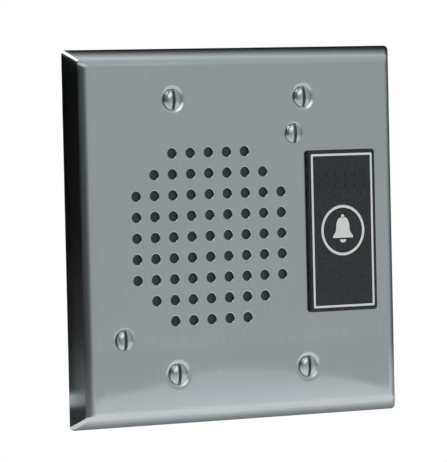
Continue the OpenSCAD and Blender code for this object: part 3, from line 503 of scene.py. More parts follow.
# %% [markdown]
# ## The pressed plate
# The plate is one sheet, drawn over a tool: a flat face, a bend all round, and a sloping flank
# down to the wall. Its section is carried round a rectangle whose corners stay slightly round,
# so the four mitres come out soft, as pressing leaves them. The CAD solid has the same sizes
# but would show the facets of its bend, which a mirror-like metal gives away at once.

# %% Section of the plate's edge

EDGE_ANGLE = math.radians(55)
BEND_R = 3.5
RIM_CORNER = 1.6
MITRE_CORNER = 1.1
RIM_SOFT = 0.2
BEND_STEPS = 28

flank_rise = -FACE_Y - BEND_R * (1 - math.cos(EDGE_ANGLE))
edge_run = flank_rise / math.tan(EDGE_ANGLE) + BEND_R * math.sin(EDGE_ANGLE)
bend = np.linspace(0, EDGE_ANGLE, BEND_STEPS + 1)


def bend_line(radius, top):
    """Bend of one side of the sheet: inset = run - r sin a, depth = top + r (1 - cos a)."""
    return np.stack([edge_run - radius * np.sin(bend), top + radius * (1 - np.cos(bend))], -1)


outer_bend = bend_line(BEND_R, FACE_Y)
inner_bend = bend_line(BEND_R - SHEET, BACK_Y)[::-1]
inner_foot = inner_bend[0, 0] + inner_bend[0, 1] / math.tan(EDGE_ANGLE)
rim = soft_profile([outer_bend[-1], (0, 0), (inner_foot, 0), inner_bend[0]], RIM_SOFT)
plate_wall = np.vstack([outer_bend, rim[1:-1], inner_bend])
plate_outline = box_outline((0, 0), PLATE_W, PLATE_H, RIM_CORNER, MITRE_CORNER)
print("edge run", round(edge_run, 3), "mm in", len(plate_wall), "steps")

# %% [markdown]
# The face carries 69 punched holes on a quarter-inch grid, six screw seats and the panel's
# cut-out. A punch rolls the front edge of a hole over and leaves the back edge crisp. A seat
# is a shallow dish round a cone, and its metal shows as a collar behind the sheet.

# %% Holes and screw seats

HOLE_ROWS = [5, 7, 9, 9, 9, 9, 9, 7, 5]
HOLE_PITCH, HOLE_D, HOLE_SIDES = 6.35, 3.1, 28
HOLE_LAND, HOLE_ROLL, HOLE_BACK_LAND, HOLE_BACK_EDGE = 0.5, 0.24, 0.2, 0.06
BEZEL_OVERLAP, CUTOUT_R, CUTOUT_SOFT = 1.5, 1.5, 0.08
CUTOUT_W, CUTOUT_H = PANEL_W - 2 * BEZEL_OVERLAP, PANEL_H - 2 * BEZEL_OVERLAP
BOX_SCREW = dict(thread=3.5, head=6.9, edge=0.3, dome=1.15, dish=8.6, sunk=0.35, length=25.4)
SPEAKER_SCREW = dict(thread=3.18, head=6.2, edge=0.1, dome=1.1, dish=7.2, sunk=0.1, length=12.7)
SINK_ANGLE = math.radians(41)
SINK, COLLAR = math.tan(SINK_ANGLE), SHEET / math.cos(SINK_ANGLE)
SEAT_GAP, BOLT_GAP, SEAT_SIDES = 0.06, 0.3, 56
SEAT_LAND, COLLAR_LAND, SEAT_SOFT = 0.7, 0.6, [0.4, 0.1, 0.08, 0.15, 0.5]

row_z = (len(HOLE_ROWS) - 1) / 2 - np.arange(len(HOLE_ROWS))
holes = np.vstack([np.stack([np.arange(n) - (n - 1) / 2, np.full(n, z)], -1)
                   for n, z in zip(HOLE_ROWS, row_z)]) * HOLE_PITCH + speaker_axis


def screw_reach(node, screw):
    """How far screws stand from their middle, across and up: half the node's extent - half a head."""
    return extent(node)[[0, 2]] / 2 - screw["head"] / 2


box_places = screw_reach("box_screws", BOX_SCREW) * np.array([[-1, -1], [1, -1], [-1, 1], [1, 1]])
ear_places = speaker_axis + screw_reach("speaker_screws", SPEAKER_SCREW) * np.array([[-1, -1], [1, 1]])


def seat_wall(screw):
    """Section of a seat as (radius, depth): face, dish, countersink, hole's end, collar, back."""
    seat_r = screw["head"] / 2 - screw["edge"] + SEAT_GAP
    hole_r = screw["thread"] / 2 + BOLT_GAP
    rim_y = FACE_Y + screw["sunk"]
    end_y = rim_y + (seat_r - hole_r) / SINK
    collar_r = hole_r + COLLAR + (end_y - BACK_Y) * SINK
    dish_r = screw["dish"] / 2
    return soft_profile([(dish_r + SEAT_LAND, FACE_Y), (dish_r, FACE_Y), (seat_r, rim_y), (hole_r, end_y),
                         (hole_r + COLLAR, end_y), (collar_r, BACK_Y), (collar_r + COLLAR_LAND, BACK_Y)],
                        SEAT_SOFT)


hole_wall = soft_profile([(HOLE_LAND, FACE_Y), (0, FACE_Y), (0, BACK_Y), (HOLE_BACK_LAND, BACK_Y)],
                         [HOLE_ROLL, HOLE_BACK_EDGE])
plate_borders = [(plate_outline, plate_wall)]
plate_borders += [(round_outline(hole, HOLE_D / 2, HOLE_SIDES), hole_wall) for hole in holes]
for spots, screw in ((box_places, BOX_SCREW), (ear_places, SPEAKER_SCREW)):
    plate_borders += [(round_outline(spot, 0, SEAT_SIDES), seat_wall(screw)) for spot in spots]
plate_borders += [(box_outline(call_axis, CUTOUT_W, CUTOUT_H, CUTOUT_R),
                   edge_wall(FACE_Y, BACK_Y, CUTOUT_SOFT))]
mesh_piece("plate_skin", sheet_shape(plate_borders), stainless, "plate", ["face_plate"])

# %% [markdown]
# ## Slotted screws
# The heads are oval and slotted, and all the slots stand upright. A head is a grid of columns
# across the slot, so the slot's two edges fall exactly on grid lines: on the banks the height
# is that of a low sphere, and between them it is the flat floor of the slot. Each shank has a
# real thread, a radius that falls and rises once for each turn and each pitch.

# %% Screw shapes

SLOT_W, SLOT_EDGE, SLOT_FLOOR = 1.0, 0.07, -0.08
HEAD_EDGE, HEAD_RIM = 0.4, 0.12
BANK_COLS, SLOT_STRIPS, HEAD_ROWS = 16, 3, 33


def slotted_head(spot, screw):
    """Closed head. Column x holds z = t sqrt(R^2 - x^2). The banks follow a sphere of radius S,
    sqrt(S^2 - x^2 - z^2) - (S - dome), and then an arc that is tangent to it and upright at the
    rim; the slot has a constant height; the underside is a cone. The slot's faces come first."""
    head_r, dome = screw["head"] / 2 - screw["edge"], screw["dome"]
    arc_r = head_r - HEAD_EDGE
    sphere_r = (arc_r**2 + dome**2 - HEAD_EDGE**2) / (2 * (dome - HEAD_EDGE))
    cap_r = sphere_r * arc_r / (sphere_r - HEAD_EDGE)
    half = SLOT_W / 2
    bank = half + SLOT_EDGE + (head_r - half - SLOT_EDGE) * np.sin(np.linspace(0, np.pi / 2, BANK_COLS))
    x = np.concatenate([-bank[::-1], [-half, -half, half, half], bank])
    no_drop = np.zeros(BANK_COLS)
    drop = np.concatenate([no_drop, [SLOT_EDGE, np.inf, np.inf, SLOT_EDGE], no_drop])
    t = np.sin(np.linspace(-np.pi / 2, np.pi / 2, HEAD_ROWS))
    x, z = np.broadcast_arrays(x[:, None], np.sqrt(np.maximum(head_r**2 - x**2, 0))[:, None] * t)
    from_axis = np.hypot(x, z)
    cap = np.sqrt(sphere_r**2 - from_axis**2) - (sphere_r - dome)
    edge = np.sqrt(np.maximum(HEAD_EDGE**2 - (from_axis - arc_r) ** 2, 0))
    height = np.where(from_axis < cap_r, cap, edge)
    height = np.maximum(height - drop[:, None], SLOT_FLOOR)
    under = HEAD_RIM + (head_r - np.maximum(from_axis, screw["thread"] / 2)) / SINK
    rim_y = FACE_Y + screw["sunk"] - HEAD_RIM
    top = np.stack([spot[0] + x, rim_y - height, spot[1] + z], -1)
    base = np.stack([spot[0] + x, rim_y + under, spot[1] + z], -1)
    rows, cols = x.shape
    sides = [np.stack([top[:, end], base[:, end]]) for end in (0, -1)]
    strips = np.array([BANK_COLS, BANK_COLS + SLOT_STRIPS]) * (cols - 1)
    left, slot, right = np.split(grid_faces(rows, cols), strips)
    return together([(top.reshape(-1, 3), [slot, np.vstack([left, right])]),
                     (base.reshape(-1, 3), [grid_faces(rows, cols)])]
                    + [(side.reshape(-1, 3), [grid_faces(2, rows)]) for side in sides])


THREAD_PITCH, THREAD_SHARE, SHANK_START = 0.794, 0.6, 1.2
POINT_L, POINT_SHARE = 0.9, 0.45


def threaded_rod(spot, screw, sides=32, steps=7):
    """Closed thread: radius = outside - depth |2 f - 1|, f the fraction of y / pitch - turn. The depth
    is a share of the pitch, and the last stretch tapers to a blunt point."""
    outside = screw["thread"] / 2
    start = FACE_Y + screw["sunk"] + SHANK_START
    end = FACE_Y + screw["sunk"] - HEAD_RIM + screw["length"]
    y = np.linspace(start, end, int((end - start) / THREAD_PITCH * steps))[:, None]
    turn = np.arange(sides) / sides
    cut = THREAD_SHARE * THREAD_PITCH * np.abs(2 * ((y / THREAD_PITCH - turn) % 1) - 1)
    point = np.clip((end - y) / POINT_L, POINT_SHARE, 1)
    radius = np.minimum(outside - cut, outside * point)
    radius = np.vstack([0 * radius[:1], radius, 0 * radius[:1]])
    y = np.broadcast_to(np.vstack([y[:1], y, y[-1:]]), radius.shape)
    points = np.stack([spot[0] + radius * np.cos(2 * np.pi * turn), y,
                       spot[1] + radius * np.sin(2 * np.pi * turn)], -1)
    return points.reshape(-1, 3), [grid_faces(len(radius), sides, wrap_cols=True)]


print("helpers: slotted_head, threaded_rod")

# %% [markdown]
# The four box screws and the two speaker screws differ only in size. The first of each head's five groups
# of faces, the slot, takes a darker finish: grime that old screws hold, together with painted shade for the
# slot's depth.

# %% Screws

HEAD_GROUPS = 5
for name, spots, screw in (("box", box_places, BOX_SCREW), ("speaker", ear_places, SPEAKER_SCREW)):
    node = name + "_screws"
    slots = np.arange(len(spots)) * HEAD_GROUPS
    mesh_piece(name + "_screw_heads", together([slotted_head(spot, screw) for spot in spots]),
               screw_steel, "plate", [node], sharp=30, inlay=(slot_grime_and_shade, slots))
    mesh_piece(name + "_screw_threads", together([threaded_rod(spot, screw) for spot in spots]),
               screw_steel, "plate", [node], sharp=50)

# %% [markdown]
# ## Call panel
# The black panel is a moulded bezel with a thin printed film on it. The bezel's lip lies on the
# plate, its neck passes through the cut-out, and a shallow box behind it takes the switch.
# The CAD bezel has sharp edges, so three soft-edged slabs stand for it here.

# %% Bezel and film

LIP_Y, BOARD_Y = depths("call_bezel")
CLAMP_T, SEAL_T, FILM_T = 1.2, 0.3, 0.25
CLAMP_Y, SEAL_Y, FILM_Y = depths("bezel_clamps")[1] - CLAMP_T, FACE_Y - SEAL_T, LIP_Y - FILM_T
PANEL_R, PANEL_LEAST, FILM_INSET = 1.0, 0.3, 0.25
NECK_GAP, NECK_CORNER = 0.2, 1.3
NECK_W, NECK_H = CUTOUT_W - 2 * NECK_GAP, CUTOUT_H - 2 * NECK_GAP
BOX_H, BOX_WALL, BOX_CORNER, BOX_LAP = 35.0, 1.5, 0.5, 0.2
FLANGE_W, BORE_GAP, FILM_GAP, BORE_SIDES = 1.2, 0.05, 0.15, 96
BUTTON_R = extent("call_button")[0] / 2 - FLANGE_W
LIP_SOFT, NECK_SOFT, BOX_SOFT, BORE_SOFT, FILM_SOFT = 0.22, 0.15, 0.1, 0.05, 0.06

bore = round_outline(call_axis, BUTTON_R + BORE_GAP, BORE_SIDES)
lip_outside = box_outline(call_axis, PANEL_W, PANEL_H, PANEL_R, PANEL_LEAST)
neck_outside = box_outline(call_axis, NECK_W, NECK_H, NECK_CORNER)
box_outside = box_outline(call_axis, NECK_W, BOX_H, BOX_CORNER)
box_inside = box_outline(call_axis, NECK_W - 2 * BOX_WALL, BOX_H - 2 * BOX_WALL, BOX_CORNER)
bezel = [slab(LIP_Y, SEAL_Y, (lip_outside, LIP_SOFT), (bore, BORE_SOFT)),
         slab(SEAL_Y, CLAMP_Y, (neck_outside, NECK_SOFT), (bore, BORE_SOFT)),
         slab(CLAMP_Y - BOX_LAP, BOARD_Y, (box_outside, NECK_SOFT), (box_inside, BOX_SOFT))]
mesh_piece("bezel_moulding", together(bezel), black_plastic, "plate", ["call_bezel"])

film_outside = box_outline(call_axis, PANEL_W - 2 * FILM_INSET, PANEL_H - 2 * FILM_INSET,
                           PANEL_R - FILM_INSET / 2, PANEL_LEAST)
film_hole = round_outline(call_axis, BUTTON_R + FILM_GAP, BORE_SIDES)
film = slab(FILM_Y, LIP_Y, (film_outside, FILM_SOFT), (film_hole, FILM_SOFT))
mesh_piece("film_sheet", film, black_film, "plate", ["front_film"])

# %% [markdown]
# The film is embossed with two plain rows of raised dots, so that a hand finds the panel. Each
# dot is a low dome on a round foot that is sunk into the film, so its edge is closed.

# %% Raised dots

DOT_R, DOT_H, DOT_BED, DOT_STEPS, DOT_SIDES = 0.75, 0.45, 0.1, 8, 24
DOT_PITCH, DOT_COUNT, DOT_DROP = 3.4, 6, 9.2
dot_x = (np.arange(DOT_COUNT) - (DOT_COUNT - 1) / 2) * DOT_PITCH
dot_z = PANEL_H / 2 - DOT_DROP + np.array([-0.5, 0.5]) * DOT_PITCH
dot_places = call_axis + np.stack(np.meshgrid(dot_x, dot_z), -1).reshape(-1, 2)
sweep = np.linspace(0, np.pi / 2, DOT_STEPS + 1)
dome_line = np.stack([DOT_R * np.sin(sweep), FILM_Y - DOT_H * np.cos(sweep)], -1)
dot_line = np.vstack([dome_line, [(DOT_R, FILM_Y + DOT_BED), (0, FILM_Y + DOT_BED)]])
dots = together([turned_shape(dot_line, spot, DOT_SIDES) for spot in dot_places])
mesh_piece("film_dots", dots, black_film, "plate", ["front_film"], sharp=50)

# %% [markdown]
# The button is a round cap, flush with the film. It has a flange behind the bezel that keeps it
# in, and a stem that pushes the switch. One turned profile gives all of it.

# %% Button

WEB_T, FLANGE_T, STEM_R = 2.0, 1.2, 2.0
BUTTON_SOFT = [0.22, 0.05, 0.1, 0.1, 0.2, 0.1]
web_y, stem_y, flange_r = LIP_Y + WEB_T, depths("call_button")[1], BUTTON_R + FLANGE_W
flange_y = web_y + FLANGE_T
button_line = soft_profile([(0, FILM_Y), (BUTTON_R, FILM_Y), (BUTTON_R, web_y), (flange_r, web_y),
                            (flange_r, flange_y), (STEM_R, flange_y), (STEM_R, stem_y), (0, stem_y)],
                           BUTTON_SOFT)
mesh_piece("button_cap", turned_shape(button_line, call_axis), black_film, "button",
           ["call_button"], sharp=50)

# %% [markdown]
# White print on the film: a thin frame inside the panel's edge, a ring round the button, and a
# plain bell on the button, the usual sign for calling. Ink has a thickness, so each print is a
# very thin closed sheet that is bedded a little into the film.

# %% White print

INK, INK_BED, INK_SOFT = 0.03, 0.03, 0.01
FRAME_INSET, FRAME_LINE, FRAME_CORNER = 1.18, 0.68, 0.4
RING_GAP, RING_LINE, RING_SIDES = 0.28, 0.84, 128


def printed(*outlines):
    """Ink inside the first outline and outside the others."""
    return slab(FILM_Y - INK, FILM_Y + INK_BED, *[(outline, INK_SOFT) for outline in outlines])


frame_w, frame_h = PANEL_W - 2 * FRAME_INSET, PANEL_H - 2 * FRAME_INSET
frame_print = printed(box_outline(call_axis, frame_w, frame_h, FRAME_CORNER),
                      box_outline(call_axis, frame_w - 2 * FRAME_LINE, frame_h - 2 * FRAME_LINE,
                                  FRAME_CORNER / 2))
ring_in = BUTTON_R + RING_GAP
ring_print = printed(round_outline(call_axis, ring_in + RING_LINE, RING_SIDES),
                     round_outline(call_axis, ring_in, RING_SIDES))
mesh_piece("panel_print", together([frame_print, ring_print]), white_print)

# %% [markdown]
# The bell is drawn in three parts. Its body is half an outline with soft corners and that half
# mirrored, the clapper below it is half an ellipse, and the knob on top is a circle.

# %% Bell

BELL_SIDE = [(0, 4.0), (1.5, 3.9), (2.35, 2.2), (2.45, -0.3), (3.6, -1.7), (3.6, -2.35), (0, -2.35)]
BELL_SOFT = [0.9, 0.9, 1.2, 0.3, 0.15]
CLAPPER_W, CLAPPER_H, CLAPPER_Z, CLAPPER_STEPS = 1.15, 1.0, -2.85, 16
KNOB_R, KNOB_Z, KNOB_SIDES = 0.6, 4.35, 24


def drawn_outline(points):
    """Closed outline drawn point by point; ink is too thin to need an inset."""
    points = call_axis + np.asarray(points, float)
    return lambda inset: np.repeat(points[None], len(inset), 0)


bell_side = soft_profile(BELL_SIDE, BELL_SOFT)
bell = np.vstack([bell_side, bell_side[-2:0:-1] * [-1, 1]])
half_turn = np.linspace(0, np.pi, CLAPPER_STEPS + 1)
clapper = np.stack([CLAPPER_W * np.cos(half_turn), CLAPPER_Z - CLAPPER_H * np.sin(half_turn)], -1)
full_turn = np.linspace(0, 2 * np.pi, KNOB_SIDES, endpoint=False)
knob = np.stack([KNOB_R * np.cos(full_turn), KNOB_Z + KNOB_R * np.sin(full_turn)], -1)
bell_print = together([printed(drawn_outline(part)) for part in (bell, clapper, knob)])
mesh_piece("button_print", bell_print, white_print, "button")

# %% [markdown]
# ## Cloth, paper and copper
# Behind the plate the finishes are those of a cheap small loudspeaker: black grille cloth, a
# resin-stiffened spider, pressed pulp, kraft paper and enamelled wire. A plain weave is two
# waves at right angles, and their difference gives the over and under of the threads.

# %% Soft finishes

FUZZ = 0.4


def woven(name, dark, light, rough, pitch, depth):
    """Weave of threads at the given pitch: |wave along X - wave along Z|, broken up by fine noise."""
    finish, shader = new_finish(name, 0.0, Sheen_Weight=0.15, Specular_IOR_Level=0.25)
    threads = combine(finish, "SUBTRACT", bands(finish, "X", pitch), bands(finish, "Z", pitch))
    fuzz = combine(finish, "MULTIPLY", grain(finish, pitch), FUZZ)
    field = combine(finish, "ADD", combine(finish, "ABSOLUTE", threads), fuzz)
    return dress(finish, shader, field, dark, light, rough, depth)


def wound(name, dark, light, rough, pitch, depth):
    """Wire turns that lie side by side along Y, as one wave across them."""
    finish, shader = new_finish(name, 1.0)
    return dress(finish, shader, bands(finish, "Y", pitch), dark, light, rough, depth)


grille_black = woven("grille_cloth_black", (0.022, 0.023, 0.024), (0.066, 0.068, 0.069), (0.85, 0.95),
                     0.55, 0.12)
spider_weave = woven("spider_weave", (0.36, 0.22, 0.06), (0.60, 0.42, 0.17), (0.6, 0.8), 0.45, 0.05)
surround_weave = woven("surround_weave", (0.014, 0.014, 0.014), (0.036, 0.036, 0.036), (0.5, 0.7),
                       0.5, 0.04)
cone_pulp = grained("cone_pulp", (0.026, 0.024, 0.022), (0.062, 0.056, 0.050), (0.8, 0.95),
                    (0.5, 0.9, 0.5), 0.05)
kraft_tube = grained("kraft_tube", (0.40, 0.25, 0.11), (0.55, 0.38, 0.20), (0.7, 0.85),
                     (0.8, 0.3, 0.8), 0.02)
enamelled_wire = wound("enamelled_wire", (0.40, 0.13, 0.045), (0.66, 0.29, 0.13), (0.25, 0.4), 0.15, 0.03)
tinsel_braid = grained("tinsel_braid", (0.42, 0.16, 0.06), (0.72, 0.36, 0.17), (0.3, 0.5), 0.22, 0.06, 1.0)
print("soft finishes:", grille_black.name, spider_weave.name, cone_pulp.name)

# %% [markdown]
# ## Grille cloth and gasket
# The black cloth is stretched flat behind the holes and pinched at its edge between the plate
# and the foam gasket. It is one cut square with two holes for the screw seats.

# %% Cloth

EAR_R, EAR_LEAST, SEAT_ROOM, ROOM_SIDES = 4.8, 1.0, 3.9, 40
CLOTH_SOFT = 0.06
FRAME_W, FRAME_Y = extent("speaker_frame")[0], depths("speaker_frame")[0]
CLOTH_Y, CLOTH_BACK = depths("grille_cloth")

square = box_outline(speaker_axis, FRAME_W, FRAME_W, EAR_R, EAR_LEAST)
seat_rooms = [round_outline(spot, SEAT_ROOM, ROOM_SIDES) for spot in ear_places]
cloth_shape = slab(CLOTH_Y, CLOTH_BACK, *[(border, CLOTH_SOFT) for border in [square] + seat_rooms])
cloth = mesh_piece("grille_cloth_sheet", cloth_shape, grille_black, "plate", ["grille_cloth"])

# %% [markdown]
# The gasket has the cloth's outline, a round opening and a recess at the back for the cone's
# surround. It is squeezed, so its free edges bulge: their inset is a parabola across the thickness.

# %% Foam

GASKET_R, SURROUND_R, SURROUND_T, OPENING_SIDES = 30.6, 34.0, 0.3, 144
BULGE, FOAM_LAND, FOAM_STEPS = 0.2, 0.1, 14
RECESS_GAP, RECESS_PLAY, RECESS_LAND = 0.05, 0.03, 0.15


def foam_wall(front, back):
    """Free edge of squeezed foam: inset = bulge (2t - 1)^2 from the front face to the back one."""
    t = np.linspace(0, 1, FOAM_STEPS + 1)
    edge = np.stack([BULGE * (2 * t - 1) ** 2, front + (back - front) * t], -1)
    return np.vstack([[(BULGE + FOAM_LAND, front)], edge, [(BULGE + FOAM_LAND, back)]])


recess_r, recess_y = SURROUND_R + RECESS_GAP, FRAME_Y - SURROUND_T - RECESS_PLAY
opening = foam_wall(CLOTH_BACK, recess_y)[:-1] + [GASKET_R, 0]
recess = [(recess_r, recess_y), (recess_r, FRAME_Y), (recess_r + RECESS_LAND, FRAME_Y)]
squeezed = foam_wall(CLOTH_BACK, FRAME_Y)
gasket_borders = [(square, squeezed)]
gasket_borders += [(round_outline(speaker_axis, 0, OPENING_SIDES), np.vstack([opening, recess]))]
gasket_borders += [(room, squeezed) for room in seat_rooms]
gasket = mesh_piece("gasket_foam", sheet_shape(gasket_borders), foam, "plate", ["speaker_gasket"])

# %% [markdown]
# ## Speaker frame
# The frame is pressed from one sheet: a square flange with four ears, a bowl with eight windows,
# a shelf for the spider and a cup that carries the magnet. A sheet with openings has two skins
# on the same grid. The cells of an opening are left out, and walls join the skins round it.

# %% Pierced shells


def offset_line(line, distance):
    """Line moved sideways along its own normals."""
    run = np.gradient(line, axis=0)
    side = np.stack([-run[:, 1], run[:, 0]], -1)
    return line + distance * side / np.linalg.norm(side, axis=1, keepdims=True)


def pierced_shell(front, back, angle, axis, is_open):
    """Two profiles (radius, depth) turned through the same angles. Cells marked open are left out,
    and a wall joins the two skins wherever an open cell meets a closed one, and at both ends."""
    skins = np.stack([np.stack([axis[0] + line[:, :1] * np.cos(angle),
                                np.broadcast_to(line[:, 1:], (len(line), len(angle))),
                                axis[1] + line[:, :1] * np.sin(angle)], -1) for line in (front, back)])
    rows, cols = skins.shape[1:3]
    index = np.arange(2 * rows * cols).reshape(2, rows, cols)
    following = np.roll(index, -1, 2)
    skin = np.stack([index[:, :-1], following[:, :-1], following[:, 1:], index[:, 1:]], -1)
    closed = np.pad(~is_open, ((1, 1), (0, 0)))
    level = closed[1:] != closed[:-1]
    upright = is_open != np.roll(is_open, 1, 1)
    level_wall = np.stack([index[0], following[0], following[1], index[1]], -1)[level]
    upright_wall = np.stack([index[0, :-1], index[0, 1:], index[1, 1:], index[1, :-1]], -1)[upright]
    return skins.reshape(-1, 3), [skin[:, ~is_open].reshape(-1, 4), level_wall, upright_wall]


print("helpers: offset_line, pierced_shell")

# %% [markdown]
# The bowl is a profile turned round the axis: a short skirt, a straight wall with the windows, the
# shelf and the cup. The second skin is that profile, moved out by the sheet's thickness. Angles are
# set so that the sides of every window fall on grid lines.

# %% Bowl with windows

FRAME_T, FRAME_LAND, FRAME_LAP = 0.8, 4.9, 0.1
OPENING_R, SHELF_R, CUP_IN_R, CUP_HOLE_R = FRAME_W / 2 - FRAME_LAND, 18.8, 14.8, 8.2
SKIRT_Y, SHELF_Y, CUP_Y = 1.5, 8.4, 13.2
SKIRT_SOFT, CUP_SOFT = 0.9, [0.9, 0.5, 1.1]
WINDOWS, WINDOW_ANGLE, WINDOW_IN, WINDOW_OUT = 8, 22.0, 20.5, 29.2
WALL_STEPS, WINDOW_STEPS, RIB_STEPS = 8, 11, 8


def on_slope(radius):
    """Point of the bowl's straight wall at a radius."""
    return radius, SKIRT_Y + (OPENING_R - radius) * (SHELF_Y - SKIRT_Y) / (OPENING_R - SHELF_R)


skirt = soft_profile([(OPENING_R, FRAME_Y + FRAME_LAP), (OPENING_R, SKIRT_Y), on_slope(WINDOW_OUT)],
                     SKIRT_SOFT)
wall = np.linspace(on_slope(WINDOW_OUT), on_slope(WINDOW_IN), WALL_STEPS + 1)
cup = soft_profile([on_slope(WINDOW_IN), (SHELF_R, SHELF_Y), (CUP_IN_R, SHELF_Y), (CUP_IN_R, CUP_Y),
                    (CUP_HOLE_R, CUP_Y)], CUP_SOFT)
bowl = np.vstack([skirt[:-1], wall, cup[1:]])
half_window, sector_angle = WINDOW_ANGLE / 2, 360 / WINDOWS
sector = np.concatenate([np.linspace(-half_window, half_window, WINDOW_STEPS + 1)[:-1],
                         np.linspace(half_window, sector_angle - half_window, RIB_STEPS + 1)[:-1]])
turns = np.radians((np.arange(WINDOWS)[:, None] + 0.5) * sector_angle - 90 + sector).ravel()
wall_row = np.arange(len(bowl) - 1) - (len(skirt) - 1)
in_wall = (wall_row >= 0) & (wall_row < WALL_STEPS)
in_window = np.tile(np.arange(len(sector)) < WINDOW_STEPS, WINDOWS)
is_open = in_wall[:, None] & in_window
bowl_shape = pierced_shell(bowl, offset_line(bowl, -FRAME_T), turns, speaker_axis, is_open)
print("bowl:", len(bowl), "steps deep,", len(turns), "round,", is_open.sum(), "open cells")

# %% [markdown]
# The square flange lies on the gasket and has a bolt hole in each ear. A tab reaches down from
# the shelf and carries the terminal strip on one rivet. Both are plain soft-edged slabs.

# %% Flange and terminal tab

FRAME_SOFT, RIVET_R, RIVET_GAP, RIVET_SOFT = 0.16, 1.2, 0.05, 0.05
TAB_W, TAB_IN, TAB_CORNER, TAB_LEAST = 7.0, 15.0, 0.8, 0.3

ears = speaker_axis + (FRAME_W / 2 - EAR_R) * np.array([[-1, -1], [1, -1], [1, 1], [-1, 1]])
bolt_r = SPEAKER_SCREW["thread"] / 2 + BOLT_GAP
flange_borders = [square, round_outline(speaker_axis, OPENING_R, OPENING_SIDES)]
flange_borders += [round_outline(ear, bolt_r) for ear in ears]
flange = slab(FRAME_Y, FRAME_Y + FRAME_T, *[(border, FRAME_SOFT) for border in flange_borders])
strip_axis = front_middle("terminal_strip")
tab_foot = corners("terminal_strip")[0][2] - speaker_axis[1]
tab_outside = box_outline(speaker_axis + [0, (tab_foot - TAB_IN) / 2], TAB_W, -tab_foot - TAB_IN,
                          TAB_CORNER, TAB_LEAST)
rivet_hole = round_outline(strip_axis, RIVET_R + RIVET_GAP)
tab = slab(SHELF_Y, SHELF_Y + FRAME_T, (tab_outside, FRAME_SOFT), (rivet_hole, RIVET_SOFT))
mesh_piece("speaker_basket", together([bowl_shape, flange, tab]), frame_steel, "plate",
           ["speaker_frame"], sharp=40)

# %% [markdown]
# ## Cone, surround and dust cap
# The pulp cone is a flared profile whose depth falls as a power of the radius, and a low domed
# cap closes its neck. Both are thin sheets, so each profile is a line and that line moved back.

# %% Cone and dust cap

NECK_R, BOND_R, ROLL_IN, ROLL_OUT = 6.7, 25.4, 27.0, 30.0
CONE_H, CONE_T, FLARE, CONE_STEPS = 8.0, 0.5, 1.3, 32
CAP_R, CAP_H, CAP_T, CAP_GLUE, CAP_STEPS = 9.0, 2.6, 0.3, 0.05, 16
FINE = 128


def closed_line(*lines):
    """Lines joined end to end into one closed profile."""
    line = np.vstack(lines)
    return np.vstack([line, line[:1]])


def thick_line(line, thickness):
    """Closed profile of a sheet whose middle is the given line."""
    return closed_line(offset_line(line, thickness / 2), offset_line(line, -thickness / 2)[::-1])


def speaker_piece(name, line, finish, body, node, sharp=35, steps=96):
    """Piece of the loudspeaker that stands for one node: a profile turned round the speaker's axis."""
    return mesh_piece(name, turned_shape(line, speaker_axis, steps), finish, body, [node], sharp)


def cone_y(radius):
    """Depth of the cone's front: full at the neck, falling with a power of the radius."""
    return FRAME_Y + CONE_H * np.maximum(1 - (radius - NECK_R) / (BOND_R - NECK_R), 0) ** FLARE


reach = np.concatenate([np.linspace(NECK_R, BOND_R, CONE_STEPS + 1), [ROLL_IN]])
cone_front = np.stack([reach, cone_y(reach)], -1)
speaker_piece("cone_skin", closed_line(cone_front, cone_front[::-1] + [0, CONE_T]), cone_pulp,
              "diaphragm", "paper_cone", 50, FINE)

cap_sphere = (CAP_R**2 + CAP_H**2) / (2 * CAP_H)
cap_top = cone_y(CAP_R) - CAP_GLUE - CAP_H
swing = np.linspace(0, math.asin(CAP_R / cap_sphere), CAP_STEPS + 1)


def cap_line(radius):
    """Arc of the cap about the sphere's centre."""
    return np.stack([radius * np.sin(swing), cap_top + cap_sphere - radius * np.cos(swing)], -1)


cap = np.vstack([cap_line(cap_sphere), cap_line(cap_sphere - CAP_T)[::-1]])
speaker_piece("dust_cap_dome", cap, cone_pulp, "diaphragm", "dust_cap", 50)

# %% [markdown]
# The cone's lip is glued under a half-round cloth roll, between the frame outside and the cone inside.

# %% Surround

ROLL_TRIM, ROLL_LEAD, ROLL_STEPS = 0.1, 0.1, 24
GLUED_COUNT, BOND_COUNT = 5, 4


def radial_blend(piece):
    """Piece's place baked into its mesh, and its points read out."""
    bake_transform(piece)
    points = np.empty(len(piece.data.vertices) * 3, np.float32)
    piece.data.vertices.foreach_get("co", points)


def level_line(start, end, y, count):
    """Straight run of points at one depth."""
    return np.stack([np.linspace(start, end, count), np.full(count, y)], -1)


roll_mid, roll_r = (ROLL_IN + ROLL_OUT) / 2, (ROLL_OUT - ROLL_IN) / 2
flat_y = FRAME_Y - SURROUND_T / 2
over = np.linspace(ROLL_LEAD, np.pi - ROLL_LEAD, ROLL_STEPS + 1)
roll = np.vstack([level_line(SURROUND_R, ROLL_OUT + ROLL_TRIM, flat_y, GLUED_COUNT),
                  np.stack([roll_mid + roll_r * np.cos(over), FRAME_Y - roll_r * np.sin(over)], -1),
                  level_line(ROLL_IN - ROLL_TRIM, BOND_R, flat_y, BOND_COUNT)])
surround = speaker_piece("surround_roll", thick_line(roll, SURROUND_T), surround_weave, None,
                         "cone_surround", 50, FINE)
radial_blend(surround)

# %% [markdown]
# ## Motor
# The spider is a rippled disc of stiffened cloth that centres the coil and flexes with it. Its section is a
# cosine between two flat rims.

# %% Spider

SPIDER_T, SPIDER_IN, SPIDER_FLAT, SHELF_GAP, CUP_GAP = 0.3, 6.75, 0.8, 0.6, 0.2
RIPPLES, RIPPLE_STEPS = 4, 64

